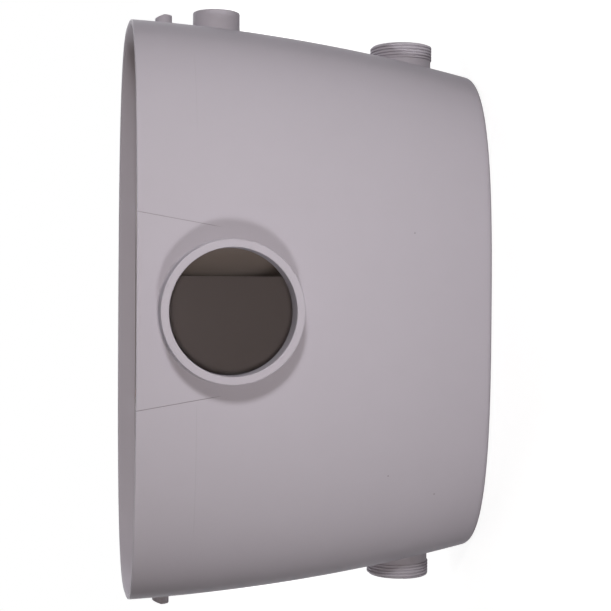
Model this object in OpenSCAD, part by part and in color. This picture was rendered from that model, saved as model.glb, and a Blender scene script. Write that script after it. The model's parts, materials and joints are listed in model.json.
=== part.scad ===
// Macerator toilet pump, shown with its lid off. All sizes are in millimetres.
// The tank stands on z = 0, with the toilet spigot towards -Y and the discharge spigot towards +X.

/* [Tank] */
// Length of the open rim, left to right
rim_len = 428; // [410:2:460]
// Depth of the open rim, front to back
rim_depth = 171; // [160:1:190]
// Length of the tank at its base
base_len = 364; // [350:2:390]
// Depth of the tank at its base
base_depth = 157; // [150:1:175]
// Height of the tank
tub_h = 261; // [255:1:290]
// Wall thickness of the tank
wall = 3.5; // [3:0.5:5]
// Floor thickness of the tank
floor_t = 4; // [3:0.5:6]
// Squareness of the plan outline, where 2 is an ellipse
squareness = 2.9; // [2.5:0.1:3.5]
// Swell of the walls between base and rim
swell = 0.8; // [0:0.1:1]
// Radius of the rounded bottom edge
base_r = 4; // [3:1:14]
// Width of the ledge that carries the inner cover
ledge_w = 9; // [8:0.5:12]
// Height of the ledge's straight edge
ledge_t = 3; // [2:0.5:5]
// Height of the ledge above the toilet bore
ledge_rise = 2.3; // [1:0.1:5]

/* [Spigots] */
// Outside diameter of the toilet spigot
wc_d = 100; // [90:1:110]
// Bore of the toilet spigot
wc_bore = 88.4; // [80:0.2:98]
// Toilet spigot in front of the rim
wc_reach = 18.5; // [10:0.5:40]
// Toilet spigot's axis below the rim
wc_drop = 64.5; // [62:0.5:80]
// Outside diameter of the threaded ports
port_d = 47.8; // [42:0.1:50]
// Bore of the threaded ports
port_bore = 38; // [32:0.5:40]
// Threaded ports beyond the ends of the base
port_reach = 24.2; // [20:0.2:40]
// Height of the threaded ports' axis
port_z = 48.5; // [45:0.5:60]
// Threaded ports inside the tank
port_inset = 6; // [3:0.5:12]
// Outside diameter of the discharge spigot
out_d = 35.4; // [33:0.2:38]
// Bore of the discharge spigot
out_bore = 29.4; // [28:0.2:31]
// Discharge spigot beyond the end of the rim
out_reach = 10.7; // [8:0.1:30]
// Discharge spigot's axis below the rim
out_drop = 66.5; // [60:0.5:80]
// Discharge spigot inside the tank
out_inset = 2; // [1:0.5:6]
// Diameter of the lid pegs
peg_d = 12.6; // [8:0.2:16]
// Lid pegs beyond the ends of the rim
peg_reach = 7.1; // [4:0.1:12]
// Lid pegs' axis below the rim
peg_drop = 26.5; // [22:0.5:40]
// Slope of the lid pegs' lead-in ramp
peg_ramp = 35; // [20:1:50]

// Flare at the root of each spigot
root_flare = 1; // [0.9:0.1:3]
// That flare in front of the wall
root_gap = 1; // [0.5:0.1:3]

/* [Inner cover] */
// Thickness of the inner cover
cover_t = 3; // [2:0.5:5]
// Gap between the inner cover and the tank wall
cover_gap = 0.6; // [0.3:0.1:2]
// Thickness of the gasket under the inner cover
gasket_t = 1.5; // [1:0.1:3]
// Gap around the well and the tray where they pass through the cover
seat_gap = 0.3; // [0.2:0.1:1]
// Height of the lips that hang the well and the tray on the cover
collar_h = 2; // [1:0.5:4]
// Width of those lips
collar_t = 3; // [2:0.5:5]
// Depth of the electrics tray below the cover's top
tray_depth = 54.5; // [50:0.5:60]
// Length of the electrics tray
tray_len = 126; // [120:1:140]
// Depth of the electrics tray, front to back
tray_w = 92; // [88:1:100]
// Corner radius of the electrics tray
tray_r = 14; // [8:1:20]
// Gap between the tray and the end wall of the tank
tray_margin = 22; // [15:1:30]
// Shank diameter of the screws
screw_d = 4; // [3:0.5:5]
// Head diameter of the screws
head_d = 8; // [6:0.5:9]
// Head height of the screws
head_h = 2.5; // [2:0.1:4]
// Reach of the cover screws below the ledge
screw_grip = 12; // [8:1:16]
// Clearance of the holes that the cover screws pass through
screw_clear = 0.6; // [0.3:0.1:1]
// Diameter of the vent filter's cap
vent_d = 30; // [24:1:34]
// Lip of that cap around its plug
vent_lip = 4; // [3:0.5:6]
// Height of the vent filter's cap
vent_h = 2; // [1.5:0.1:3]
// Depth of the vent filter below the cover
vent_depth = 12; // [6:1:20]

/* [Motor] */
// Outside diameter of the stator
stator_d = 96; // [90:1:100]
// Height of the stator stack
stack_h = 56; // [40:1:60]
// Diameter of the rotor
rotor_d = 51; // [40:0.5:54]
// Air gap between rotor and stator
air_gap = 0.5; // [0.3:0.1:1]
// Rotor beyond the stack at each end
rotor_over = 3; // [1:0.5:5]
// Diameter of the shaft
shaft_d = 12; // [10:0.5:14]
// Outside diameter of the bearings
bearing_d = 32; // [28:1:35]
// Height of the bearings
bearing_h = 10; // [8:1:12]
// Plate thickness of the end shields
shield_t = 6; // [5:0.5:8]
// Skirt height of the end shields
skirt_h = 14; // [13:0.5:18]
// Skirt thickness of the end shields
skirt_t = 7.5; // [7:0.5:9]
// Height of the winding heads
winding_h = 11; // [8:0.5:12]
// Wall around each bearing
boss_t = 4; // [3:0.5:6]
// Height of the rubber mount under the motor
mount_h = 3; // [2:0.5:5]
// Gap between the stator and the motor well
well_gap = 3.5; // [3:0.5:6]
// Wall of the motor well
well_t = 3; // [2.5:0.5:5]
// Bottom thickness of the motor well
well_base_t = 4; // [3:0.5:6]
// Outside diameter of the shaft seal
seal_d = 28; // [24:1:30]
// Height of the shaft seal
seal_h = 8; // [6:0.5:9]
// Hole around the shaft wider than the shaft, each side
shaft_clear = 2; // [1.5:0.5:3]
// Radial clearance of the running fits
run_gap = 0.05; // [0.02:0.01:0.1]

/* [Pump] */
// Free height under the cutter
cut_gap = 14; // [10:0.5:20]
// Height of the fixed cutter ring
cutter_h = 12; // [10:0.5:16]
// Outside diameter of the fixed cutter ring
cutter_d = 68; // [64:1:72]
// Diameter of the suction opening
eye_d = 46; // [40:0.5:50]
// Slots in the fixed cutter ring
cutter_slots = 10; // [6:1:14]
// Width of those slots
slot_w = 6; // [4:0.5:8]
// Gap between the blade tips and the cutter ring
blade_gap = 0.8; // [0.5:0.1:2]
// Thickness of the cutter blade
blade_t = 4; // [3:0.5:5]
// Width of the cutter blade's arms
blade_w = 10; // [8:0.5:14]
// Diameter of the threaded shaft end
stud_d = 8; // [6:0.5:9]
// Height of the cutter nut
nut_h = 5.5; // [4:0.5:7]
// Height of the volute casing
pump_h = 34; // [32:1:40]
// Wall of the volute casing
pump_t = 4; // [3:0.5:5]
// Smallest outside diameter of the scroll
scroll_d = 92; // [88:1:96]
// Growth of the scroll's radius over one turn
scroll_grow = 10.5; // [8:0.5:12]
// Diameter of the impeller
impeller_d = 76; // [70:1:80]
// Height of the impeller
impeller_h = 18; // [14:1:22]
// Thickness of the impeller's vanes and shroud
vane_t = 3; // [2:0.5:4]
// Vanes on the impeller
vanes = 6; // [4:1:8]
// Height of the pillars between pump and motor well
pillar_h = 16; // [15:0.5:20]
// Distance of the pillars from the shaft
pillar_at = 34; // [30:1:38]

/* [Discharge] */
// Outside diameter of the discharge hose
hose_d = 29; // [27:0.5:30]
// Bore of the discharge hose
hose_bore = 22; // [18:0.5:23]
// Length of the hose over each stub
cuff_len = 14; // [12:1:16]
// Length of each hose clip
clip_len = 9; // [7:1:11]
// Thickness of each hose clip
clip_t = 1.2; // [0.8:0.1:2]
// Inside diameter of the valve chamber
chamber_d = 32; // [30:0.5:34]
// Length of the valve chamber
chamber_len = 29; // [28:0.5:36]
// Wall of the valve body
valve_t = 3; // [2.5:0.5:4]
// Length of the valve's inlet stub below the chamber axis
stub_len = 44; // [35:1:60]
// Radius of the valve flap
valve_flap_r = 13; // [12.5:0.1:13.5]
// Section diameter of the outlet seal ring
oring_d = 2.4; // [2:0.1:2.6]

/* [Flaps] */
// Thickness of the flaps
flap_t = 3; // [2:0.5:4]
// Gap between a closed flap and its seat
flap_gap = 0.3; // [0.2:0.1:0.6]
// Radius of the side flaps
flap_r = 22; // [21:0.5:24]
// Knuckle radius of the flaps
knuckle_r = 3.2; // [2.5:0.1:4]
// Diameter of the flap pins
pin_d = 3; // [2:0.5:4]
// Plate thickness of the flap frames
frame_t = 4; // [3:0.5:6]
// Length of the frame sleeves in the ports
sleeve_len = 12; // [8:1:16]
// Wall of those sleeves
sleeve_t = 2; // [1.5:0.5:3]
// Thickness of the hinge ears
ear_t = 3; // [2:0.5:5]

/* [Level switch] */
// Outside diameter of the pressure tube
tube_d = 40; // [34:1:42]
// Wall of the pressure tube
tube_t = 3; // [2:0.5:4]
// Free height under the pressure tube
tube_gap = 14; // [8:1:30]
// Diameter of the clamped flanges
flange_d = 54; // [52:1:58]
// Thickness of those flanges
flange_t = 3.5; // [3:0.5:5]
// Thickness of the diaphragm
diaphragm_t = 1.5; // [1:0.1:2]
// Inside height of the switch cap
cap_room = 9.5; // [8:0.5:12]
// Top thickness of the switch cap
cap_t = 4; // [3:0.5:6]
// Diameter of the actuator's stem
stem_d = 6; // [5:0.5:8]
// Travel of the actuator
travel = 3; // [2:0.5:3]
// Stem above the switch cap at rest
stem_out = 4; // [3:0.5:6]
// Clearance between the parts of the switch
switch_gap = 0.3; // [0.2:0.05:0.5]
// Length of the microswitch
micro_len = 28; // [26:1:32]
// Width of the microswitch
micro_w = 10; // [8:0.5:12]
// Height of the microswitch
micro_h = 16; // [14:0.5:18]
// Lever pivot to stem
lever_arm = 12; // [10:0.5:14]
// Thickness of the lever
lever_t = 0.8; // [0.6:0.1:1]

/* [Electrics] */
// Diameter of the capacitor
cap_d = 34; // [30:1:36]
// Spacing of the capacitor's tags
tag_pitch = 12; // [9:1:16]
// Length of the capacitor
cap_len = 62; // [50:1:70]
// Poles of the terminal block
poles = 6; // [4:1:6]
// Spacing of the poles
pole_pitch = 10; // [9:0.5:12]
// Width of the terminal block
term_w = 18; // [16:0.5:20]
// Height of the terminal block
term_h = 16; // [12:0.5:20]
// Diameter of the leads
lead_d = 2.8; // [2:0.1:3.5]

/* [Hidden] */
$fn = 64;
ring_n = 72;
eps = 0.01;

wc_z = tub_h - wc_drop;
wc_y = rim_depth / 2 + wc_reach;
port_x = base_len / 2 + port_reach;
out_z = tub_h - out_drop;
out_x = rim_len / 2 + out_reach;
peg_z = tub_h - peg_drop;
peg_x = rim_len / 2 + peg_reach;
ledge_z = wc_z + wc_bore / 2 + ledge_rise;
cover_z = ledge_z + gasket_t;
cover_top = cover_z + cover_t;
tray_floor = cover_top - tray_depth;

// Outline of the tank at a height
function taper(z) = let (s = z / tub_h) s + swell * s * (1 - s);
function half_len(z) = base_len / 2 + (rim_len - base_len) / 2 * taper(z);
function half_dep(z) = base_depth / 2 + (rim_depth - base_depth) / 2 * taper(z);
function bend(t) = sign(t) * pow(abs(t), 2 / squareness);
function on_ring(z, inset, turn) =
    [(half_len(z) - inset) * bend(cos(turn)), (half_dep(z) - inset) * bend(sin(turn))];
function outline(z, inset) = [for (i = [0:ring_n - 1]) on_ring(z, inset, 360 * i / ring_n)];
function ring(z, inset) = [for (p = outline(z, inset)) [p[0], p[1], z]];

// Sections of the tank: up the outside, over the rim, round the ledge, down the inside
inner_r = max(base_r - wall, 1);
ledge_foot = ledge_z - ledge_t - ledge_w;
function rounded(turn, z, r, inset) = ring(z + r * (1 - cos(turn)), inset + r * (1 - sin(turn)));
tub_rings = concat(
    [for (k = [0:4]) rounded(22.5 * k, 0, base_r, 0)],
    [for (k = [1:8]) ring(base_r + (tub_h - base_r) * k / 8, 0)],
    [ring(tub_h, wall), ring(ledge_z, wall), ring(ledge_z, wall + ledge_w)],
    [ring(ledge_z - ledge_t, wall + ledge_w), ring(ledge_foot, wall)],
    [for (k = [7:-1:1]) ring(floor_t + inner_r + (ledge_foot - floor_t - inner_r) * k / 8, wall)],
    [for (k = [3:-1:0]) rounded(30 * k, floor_t, inner_r, wall)]);

port_in = half_len(port_z - port_d / 2) - wall - port_inset;
out_in = half_len(out_z - out_d / 2) - wall - out_inset;
cover_turns = [15, 75, 105, 165, 195, 255, 285, 345];
screw_inset = wall + ledge_w / 2;
boss_wall = 2.4;
boss_r = screw_d / 2 + boss_wall;
boss_end = 2;
tip_gap = 1;

// Discharge valve, from the end wall of the tank inwards
valve_r = chamber_d / 2 + valve_t;
seat_x = out_in - valve_t - chamber_len;
stub_x = seat_x - valve_t - hose_d / 2;
valve_pin_d = 2;
valve_knuckle_r = 2;
valve_pin_x = seat_x + flap_gap + valve_knuckle_r;
valve_top_gap = 0.7;
valve_rise = chamber_d / 2 - valve_knuckle_r - valve_top_gap;
valve_pin_z = out_z + valve_rise;
valve_ear = 4;
outlet_gap = 0.1;
outlet_d = out_bore - 2 * outlet_gap;
outlet_t = 4.1;
outlet_short = 6;
groove_at = 4;
groove_gap = 0.2;

// Motor and pump, one above the other on the shaft
well_r = stator_d / 2 + well_gap + well_t;
well_clear = 5;
motor_x = stub_x - hose_d / 2 - well_clear - well_r;
cutter_z = floor_t + cut_gap;
pump_z = cutter_z + cutter_h;
lid_z = pump_z + pump_h;
well_z = lid_z + pump_t + pillar_h;
motor_z = well_z + well_base_t + mount_h;
stack_z = motor_z + shield_t + skirt_h;
upper_z = stack_z + stack_h + skirt_h;
race_lip = 2;
lower_race_z = motor_z + race_lip;
upper_race_z = upper_z + shield_t - race_lip;
motor_top = upper_race_z + bearing_h + boss_t;
shaft_r = shaft_d / 2;
bore_r = shaft_r + run_gap;
bearing_boss_r = bearing_d / 2 + boss_t;
bolt_at = stator_d / 2 - skirt_t / 2;
bolt_turns = [45, 135, 225, 315];
blade_rise = 4;
blade_z = cutter_z + blade_rise;
stud_over = 1;
shaft_end = blade_z - nut_h - stud_over;
shaft_top_gap = 2;
impeller_gap = 4;
impeller_z = pump_z + pump_t + impeller_gap;
head_sink = (head_d - screw_d) / 2;
pillar_d = head_d + 2;
scroll_steps = 48;
function scroll_r(turn) = scroll_d / 2 + scroll_grow * turn / 360;
function scroll(inset) = [for (i = [0:scroll_steps])
    let (turn = 360 * i / scroll_steps) (scroll_r(turn) - inset) * [sin(turn), cos(turn)]];
lug_turns = [75, 135, 195, 255, 315];
lug_r = 5;
lug_at = 2.5;
hose_sides = 20;
stub_d = hose_bore * cos(180 / hose_sides);
stub_bore = stub_d - 2 * valve_t;
spout_y = scroll_d / 2 + scroll_grow - hose_d / 2;
spout_z = pump_z + pump_h / 2;
spout_over = 8;
spout_x = motor_x + scroll_d / 2 + spout_over;
cutter_screw_at = (cutter_d + eye_d) / 4;
cutter_screw_d = 3;
cutter_head_d = 5.5;

// Side flaps
flap_half_w = 8;
flap_lift = 6;
flap_rise = port_bore / 2 + flap_lift;
flap_seat = knuckle_r + flap_gap;
flap_pin_x = port_in - frame_t - flap_seat;
flap_pin_z = port_z + flap_rise;
frame_lip = 6;
frame_r = flap_r + frame_lip;
ear_gap = 0.4;

// Level switch and electrics in the tray, which share the free length between them
tray_x = -(half_len(tray_floor) - wall - tray_margin);
strap_t = 1.4;
tray_free = tray_len - cap_d - 2 * strap_t - flange_d - term_w;
capacitor_x = tray_x + 0.06 * tray_free + strap_t + cap_d / 2;
switch_x = capacitor_x + cap_d / 2 + strap_t + 0.38 * tray_free + flange_d / 2;
term_x = switch_x + flange_d / 2 + 0.06 * tray_free + term_w / 2;
diaphragm_z = tray_floor;
cap_z = diaphragm_z + diaphragm_t;
cap_top = cap_z + cap_room + cap_t;
stem_top = cap_top + stem_out;
tip_d = 2;
tip_len = 3;
disc_r = 12;
disc_t = 2;
disc_z = cap_z + switch_gap;
lever_z = stem_top + switch_gap;
pivot_z = lever_z + lever_t / 2;
pivot_x = switch_x - lever_arm;
pivot_r = 0.7;
eye_r = 1.3;
lever_len = lever_arm + 4;
button_at = lever_arm / 2;
button_r = 1.5;
micro_gap = 1;
micro_z = lever_z + lever_t + travel * lever_len / lever_arm + micro_gap;
micro_ear_r = 2;
micro_ear = 1.6;
micro_x = pivot_x - micro_ear_r;
button_y = 1;
micro_y = -micro_w / 2 + button_y;
button_in = 4;
bracket_t = 3;
micro_tabs = [0.2, 0.5, 0.8];
tab_w = 3;
tab_len = 5;
clamp_at = flange_d / 2 - 4;
clamp_screw_d = 3;
clamp_head_d = 5.5;
clamp_turns = [0, 90, 180, 270];
capacitor_z = tray_floor + strap_t + cap_d / 2;
tag_w = 6;
tag_len = 6;
tag_t = 0.8;
term_len = poles * pole_pitch;
term_step = 1;
term_slot = 0.8;
term_base_h = 0.6 * term_h;
term_hole = 6;
term_screw_d = 5;
term_screw_h = 4;
vent_x = (tray_x + tray_len + motor_x - well_r) / 2;
vent_y = 25;

// Solid through a list of rings of points, each ring turning the same way as seen from its next
module loft(rings, capped = true) {
    n = len(rings[0]);
    m = len(rings);
    last = capped ? m - 2 : m - 1;
    sides = [for (k = [0:last]) for (i = [0:n - 1])
        let (near = k * n, far = (k + 1) % m * n, next = (i + 1) % n)
        each [[near + i, far + i, far + next], [near + i, far + next, near + next]]];
    caps = capped ? [[for (i = [0:n - 1]) i], [for (i = [n - 1:-1:0]) (m - 1) * n + i]] : [];
    polyhedron(points = [for (r = rings) each r], faces = concat(sides, caps));
}

// Rings of points around a cubic curve through four control points
function on_curve(c, t) =
    pow(1 - t, 3) * c[0] + 3 * t * pow(1 - t, 2) * c[1] + 3 * t * t * (1 - t) * c[2] + pow(t, 3) * c[3];
function along(c, t) =
    pow(1 - t, 2) * (c[1] - c[0]) + 2 * t * (1 - t) * (c[2] - c[1]) + t * t * (c[3] - c[2]);
function unit(v) = v / norm(v);
function tube_ring(c, t, r, sides) =
    let (way = unit(along(c, t)), u = unit(cross(way, [0, 1, 0])), v = cross(way, u))
    [for (i = [0:sides - 1]) on_curve(c, t) + r * (cos(360 * i / sides) * v + sin(360 * i / sides) * u)];

// Cylinder along X that starts at the origin
module rod_x(d, h) {
    rotate([0, 90, 0])
        cylinder(d = d, h = h);
}

// Cylinder along Y centred on the origin
module rod_y(d, h) {
    rotate([90, 0, 0])
        cylinder(d = d, h = h, center = true);
}

// Pan-head screw whose head sits on z = 0 and whose shank points down
module screw(d, head, head_height, grip) {
    cylinder(d = head, h = head_height);
    translate([0, 0, -grip])
        cylinder(d = d, h = grip);
}

// Countersunk screw whose head ends flush with z = 0 and whose shank points down
module sunk_screw(d, head, sink, grip) {
    rotate_extrude()
        polygon([[0, -grip], [d / 2, -grip], [d / 2, -sink], [head / 2, 0], [0, 0]]);
}

// Puts its child at each cover screw
module at_cover_screws(z) {
    for (turn = cover_turns)
        translate(concat(on_ring(ledge_z, screw_inset, turn), z))
            children();
}

// Spigot along X, flared where it leaves the wall of the tank
module spigot(d, from, wall_at, end) {
    neck = wall_at + root_gap - from;
    translate([from, 0, 0])
        rotate([0, 90, 0])
            rotate_extrude()
                polygon([[0, 0], [d / 2 + root_flare, 0], [d / 2 + root_flare, neck - root_flare],
                    [d / 2, neck], [d / 2, end - from], [0, end - from]]);
}

// Threaded port through the right-hand end wall, without its bore
module port() {
    translate([0, 0, port_z])
        spigot(port_d, port_in, half_len(port_z + port_d / 2), port_x);
}

module port_hole() {
    translate([port_in - eps, 0, port_z])
        rod_x(port_bore, port_x - port_in + 2 * eps);
}

// Lid peg with a ramp on its upper side that lifts the lid's catch
module peg() {
    root = half_len(peg_z) - wall / 2;
    difference() {
        translate([root, 0, peg_z])
            rod_x(peg_d, peg_x - root);
        translate([peg_x, -peg_d, peg_z])
            rotate([0, -peg_ramp, 0])
                cube([peg_d, 2 * peg_d, 2 * peg_d]);
    }
}

module tub() {
    wc_root = half_dep(wc_z) - wall / 2;
    color("#b4adb5")
        difference() {
            union() {
                loft(tub_rings);
                translate([0, 0, wc_z])
                    rotate(-90)
                        spigot(wc_d, wc_root, half_dep(wc_z + wc_d / 2), wc_y);
                port();
                peg();
                mirror([1, 0, 0]) {
                    port();
                    peg();
                }
                translate([0, 0, out_z])
                    spigot(out_d, out_in, half_len(out_z + out_d / 2), out_x);
                at_cover_screws(ledge_z - screw_grip - boss_end)
                    cylinder(r = boss_r, h = screw_grip + boss_end);
            }
            translate([0, -wc_y, wc_z])
                rod_y(wc_bore, 2 * (wc_y - wc_root + wall + 2 * ledge_w));
            port_hole();
            mirror([1, 0, 0])
                port_hole();
            translate([out_in - eps, 0, out_z])
                rod_x(out_bore, out_x - out_in + 2 * eps);
            at_cover_screws(ledge_z - screw_grip)
                cylinder(d = screw_d, h = screw_grip + eps);
        }
}

module cover_gasket() {
    color("#1c1c1e")
        difference() {
            translate([0, 0, ledge_z])
                linear_extrude(gasket_t)
                    difference() {
                        polygon(outline(ledge_z, wall + cover_gap));
                        polygon(outline(ledge_z, wall + ledge_w));
                    }
            at_cover_screws(ledge_z - eps)
                cylinder(d = screw_d + screw_clear, h = gasket_t + 2 * eps);
        }
}

// Flat rectangle with round corners, from its left end
module rounded_plate(len, w, r) {
    translate([r, -w / 2])
        square([len - 2 * r, w]);
    translate([0, -w / 2 + r])
        square([len, w - 2 * r]);
    for (x = [r, len - r], y = [-w / 2 + r, w / 2 - r])
        translate([x, y])
            circle(r);
}

module tray_shape(grow) {
    translate([tray_x - grow, 0])
        rounded_plate(tray_len + 2 * grow, tray_w + 2 * grow, tray_r + grow);
}

module at_shaft(z) {
    translate([motor_x, 0, z])
        children();
}

module at_pillars(z) {
    for (turn = bolt_turns)
        at_shaft(z)
            rotate(turn)
                translate([pillar_at, 0, 0])
                    children();
}

module inner_cover() {
    color("#2e2f32")
        difference() {
            translate([0, 0, cover_z])
                linear_extrude(cover_t)
                    polygon(outline(ledge_z, wall + cover_gap));
            translate([0, 0, cover_z - eps])
                linear_extrude(cover_t + 2 * eps)
                    tray_shape(cover_t + seat_gap);
            at_shaft(cover_z - eps)
                cylinder(r = well_r + seat_gap, h = cover_t + 2 * eps);
            translate([vent_x, vent_y, cover_z - eps])
                cylinder(d = vent_d - 2 * vent_lip, h = cover_t + 2 * eps);
            at_cover_screws(cover_z - eps)
                cylinder(d = screw_d + screw_clear, h = cover_t + 2 * eps);
            at_cover_screws(cover_top - head_sink)
                cylinder(d1 = screw_d, d2 = head_d + 2 * eps, h = head_sink + eps);
        }
}

// Cup that keeps the motor dry, with the pump hung under it
module motor_well() {
    seal_boss_r = seal_d / 2 + boss_t;
    color("#2e2f32")
        difference() {
            union() {
                at_shaft(cover_top)
                    cylinder(r = well_r + collar_t, h = collar_h);
                at_shaft(well_z)
                    cylinder(r = well_r, h = cover_top - well_z + eps);
                at_shaft(well_z - seal_h - boss_t)
                    cylinder(r = seal_boss_r, h = seal_h + boss_t + eps);
                at_pillars(well_z - pillar_h)
                    cylinder(d = pillar_d, h = pillar_h + eps);
            }
            at_shaft(well_z + well_base_t)
                cylinder(r = well_r - well_t, h = cover_top + collar_h);
            at_shaft(well_z - seal_h - boss_t - eps)
                cylinder(d = seal_d, h = seal_h + eps);
            at_shaft(well_z - boss_t - 2 * eps)
                cylinder(r = shaft_r + shaft_clear, h = boss_t + well_base_t + 4 * eps);
            at_pillars(well_z - pillar_h - eps)
                cylinder(d = screw_d, h = pillar_h);
        }
}

module electrics_tray() {
    color("#2e2f32")
        difference() {
            union() {
                translate([0, 0, cover_top])
                    linear_extrude(collar_h)
                        tray_shape(cover_t + collar_t);
                translate([0, 0, tray_floor - cover_t])
                    linear_extrude(tray_depth + cover_t + eps)
                        tray_shape(cover_t);
            }
            translate([0, 0, tray_floor])
                linear_extrude(tray_depth + collar_h + eps)
                    tray_shape(0);
            at_switch(tray_floor - cover_t - eps)
                cylinder(d = tube_d - 2 * tube_t, h = cover_t + 2 * eps);
            at_switch(tray_floor - cover_t - eps)
                at_clamps()
                    cylinder(d = clamp_screw_d, h = cover_t + 2 * eps);
        }
}

module cover_screws() {
    color("#b9bcc0")
        at_cover_screws(cover_top)
            sunk_screw(screw_d, head_d, head_sink, cover_top - ledge_z + screw_grip - tip_gap);
}

module vent_filter() {
    color("#3a3b3e")
        translate([vent_x, vent_y, cover_top]) {
            cylinder(d = vent_d, h = vent_h);
            translate([0, 0, -vent_depth])
                cylinder(d = vent_d - 2 * vent_lip, h = vent_depth + eps);
        }
}

module motor_mount() {
    color("#1c1c1e")
        at_shaft(well_z + well_base_t)
            difference() {
                cylinder(d = stator_d, h = mount_h);
                translate([0, 0, -eps])
                    cylinder(d = bearing_d, h = mount_h + 2 * eps);
            }
}

module at_bolts(z) {
    for (turn = bolt_turns)
        at_shaft(z)
            rotate(turn)
                translate([bolt_at, 0, 0])
                    children();
}

module motor_lower_shield() {
    color("#a9adb2")
        difference() {
            at_shaft(motor_z)
                cylinder(d = stator_d, h = shield_t + skirt_h);
            at_shaft(motor_z + shield_t)
                difference() {
                    cylinder(d = stator_d - 2 * skirt_t, h = skirt_h + eps);
                    cylinder(r = bearing_boss_r, h = race_lip + bearing_h - shield_t);
                }
            at_shaft(lower_race_z)
                cylinder(d = bearing_d, h = skirt_h + shield_t);
            at_shaft(motor_z - eps)
                cylinder(r = shaft_r + shaft_clear, h = race_lip + 2 * eps);
            at_bolts(motor_z + race_lip)
                cylinder(d = screw_d, h = shield_t + skirt_h);
        }
}

module motor_upper_shield() {
    vents = 8;
    vent_hole_d = 8;
    color("#a9adb2")
        difference() {
            union() {
                at_shaft(stack_z + stack_h)
                    cylinder(d = stator_d, h = shield_t + skirt_h);
                at_shaft(upper_z)
                    cylinder(r = bearing_boss_r, h = motor_top - upper_z);
            }
            at_shaft(stack_z + stack_h - eps)
                cylinder(d = stator_d - 2 * skirt_t, h = skirt_h + eps);
            at_shaft(upper_z - eps)
                cylinder(d = bearing_d, h = upper_race_z + bearing_h - upper_z + eps);
            at_shaft(motor_top - boss_t - eps)
                cylinder(r = shaft_r + shaft_clear, h = boss_t + 2 * eps);
            for (i = [0:vents - 1])
                at_shaft(upper_z - eps)
                    rotate(360 * (i + 0.5) / vents)
                        translate([(bearing_boss_r + stator_d / 2 - skirt_t) / 2, 0, 0])
                            cylinder(d = vent_hole_d, h = shield_t + 2 * eps);
            at_bolts(stack_z)
                cylinder(d = screw_d, h = stack_h + skirt_h + shield_t + eps);
        }
}

module stator_core() {
    color("#6f7377")
        difference() {
            at_shaft(stack_z)
                cylinder(d = stator_d, h = stack_h);
            at_shaft(stack_z - eps)
                cylinder(d = rotor_d + 2 * air_gap, h = stack_h + 2 * eps);
            at_bolts(stack_z - eps)
                cylinder(d = screw_d, h = stack_h + 2 * eps);
        }
}

module stator_windings() {
    inside_gap = 1;
    outside_gap = 2;
    inside_r = rotor_d / 2 + air_gap + inside_gap;
    outside_r = stator_d / 2 - skirt_t - outside_gap;
    color("#b06a32")
        for (z = [stack_z - winding_h, stack_z + stack_h])
            at_shaft(z)
                rotate_extrude()
                    translate([inside_r, 0])
                        square([outside_r - inside_r, winding_h]);
}

module motor_bolts() {
    color("#b9bcc0")
        at_bolts(upper_z + shield_t)
            screw(screw_d, skirt_t, head_h, upper_z - motor_z);
}

module bearing(z) {
    groove_d = (bearing_d + shaft_d) / 2;
    groove_w = 6;
    groove_depth = 0.8;
    at_shaft(z)
        difference() {
            cylinder(d = bearing_d, h = bearing_h);
            translate([0, 0, -eps])
                cylinder(r = bore_r, h = bearing_h + 2 * eps);
            for (end = [-eps, bearing_h - groove_depth])
                translate([0, 0, end])
                    difference() {
                        cylinder(d = groove_d + groove_w, h = groove_depth + eps);
                        cylinder(d = groove_d - groove_w, h = groove_depth + eps);
                    }
        }
}

module lower_bearing() {
    color("#c4c7ca")
        bearing(lower_race_z);
}

module upper_bearing() {
    color("#c4c7ca")
        bearing(upper_race_z);
}

module rotor_core() {
    color("#84888c")
        at_shaft(stack_z - rotor_over)
            difference() {
                cylinder(d = rotor_d, h = stack_h + 2 * rotor_over);
                translate([0, 0, -eps])
                    cylinder(r = shaft_r, h = stack_h + 2 * rotor_over + 2 * eps);
            }
}

module motor_shaft() {
    color("#c4c7ca") {
        at_shaft(blade_z + blade_t)
            cylinder(r = shaft_r, h = motor_top - shaft_top_gap - blade_z - blade_t);
        at_shaft(shaft_end)
            cylinder(d = stud_d, h = blade_z + blade_t - shaft_end + eps);
    }
}

module shaft_seal() {
    color("#1c1c1e")
        at_shaft(well_z - seal_h - boss_t)
            difference() {
                cylinder(d = seal_d, h = seal_h);
                translate([0, 0, -eps])
                    cylinder(r = bore_r, h = seal_h + 2 * eps);
            }
}

module at_lugs(z) {
    for (turn = lug_turns)
        at_shaft(z)
            rotate(90 - turn)
                translate([scroll_r(turn) + lug_at, 0, 0])
                    children();
}

module at_cutter_screws(z) {
    for (turn = [30, 150, 270])
        at_shaft(z)
            rotate(turn)
                translate([cutter_screw_at, 0, 0])
                    children();
}

module volute_casing() {
    color("#3a3b3e")
        difference() {
            union() {
                at_shaft(pump_z)
                    linear_extrude(pump_h)
                        polygon(scroll(0));
                translate([motor_x, spout_y, spout_z])
                    rod_x(stub_d, spout_x - motor_x);
                at_lugs(pump_z)
                    cylinder(r = lug_r, h = pump_h);
            }
            at_shaft(pump_z + pump_t)
                linear_extrude(pump_h)
                    polygon(scroll(pump_t));
            translate([motor_x, spout_y, spout_z])
                rod_x(stub_bore, spout_x - motor_x + eps);
            at_shaft(pump_z - eps)
                cylinder(d = eye_d, h = pump_t + 2 * eps);
            at_lugs(pump_z - eps)
                cylinder(d = screw_d, h = pump_h + 2 * eps);
            at_cutter_screws(pump_z - eps)
                cylinder(d = cutter_screw_d, h = pump_t + 2 * eps);
        }
}

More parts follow.
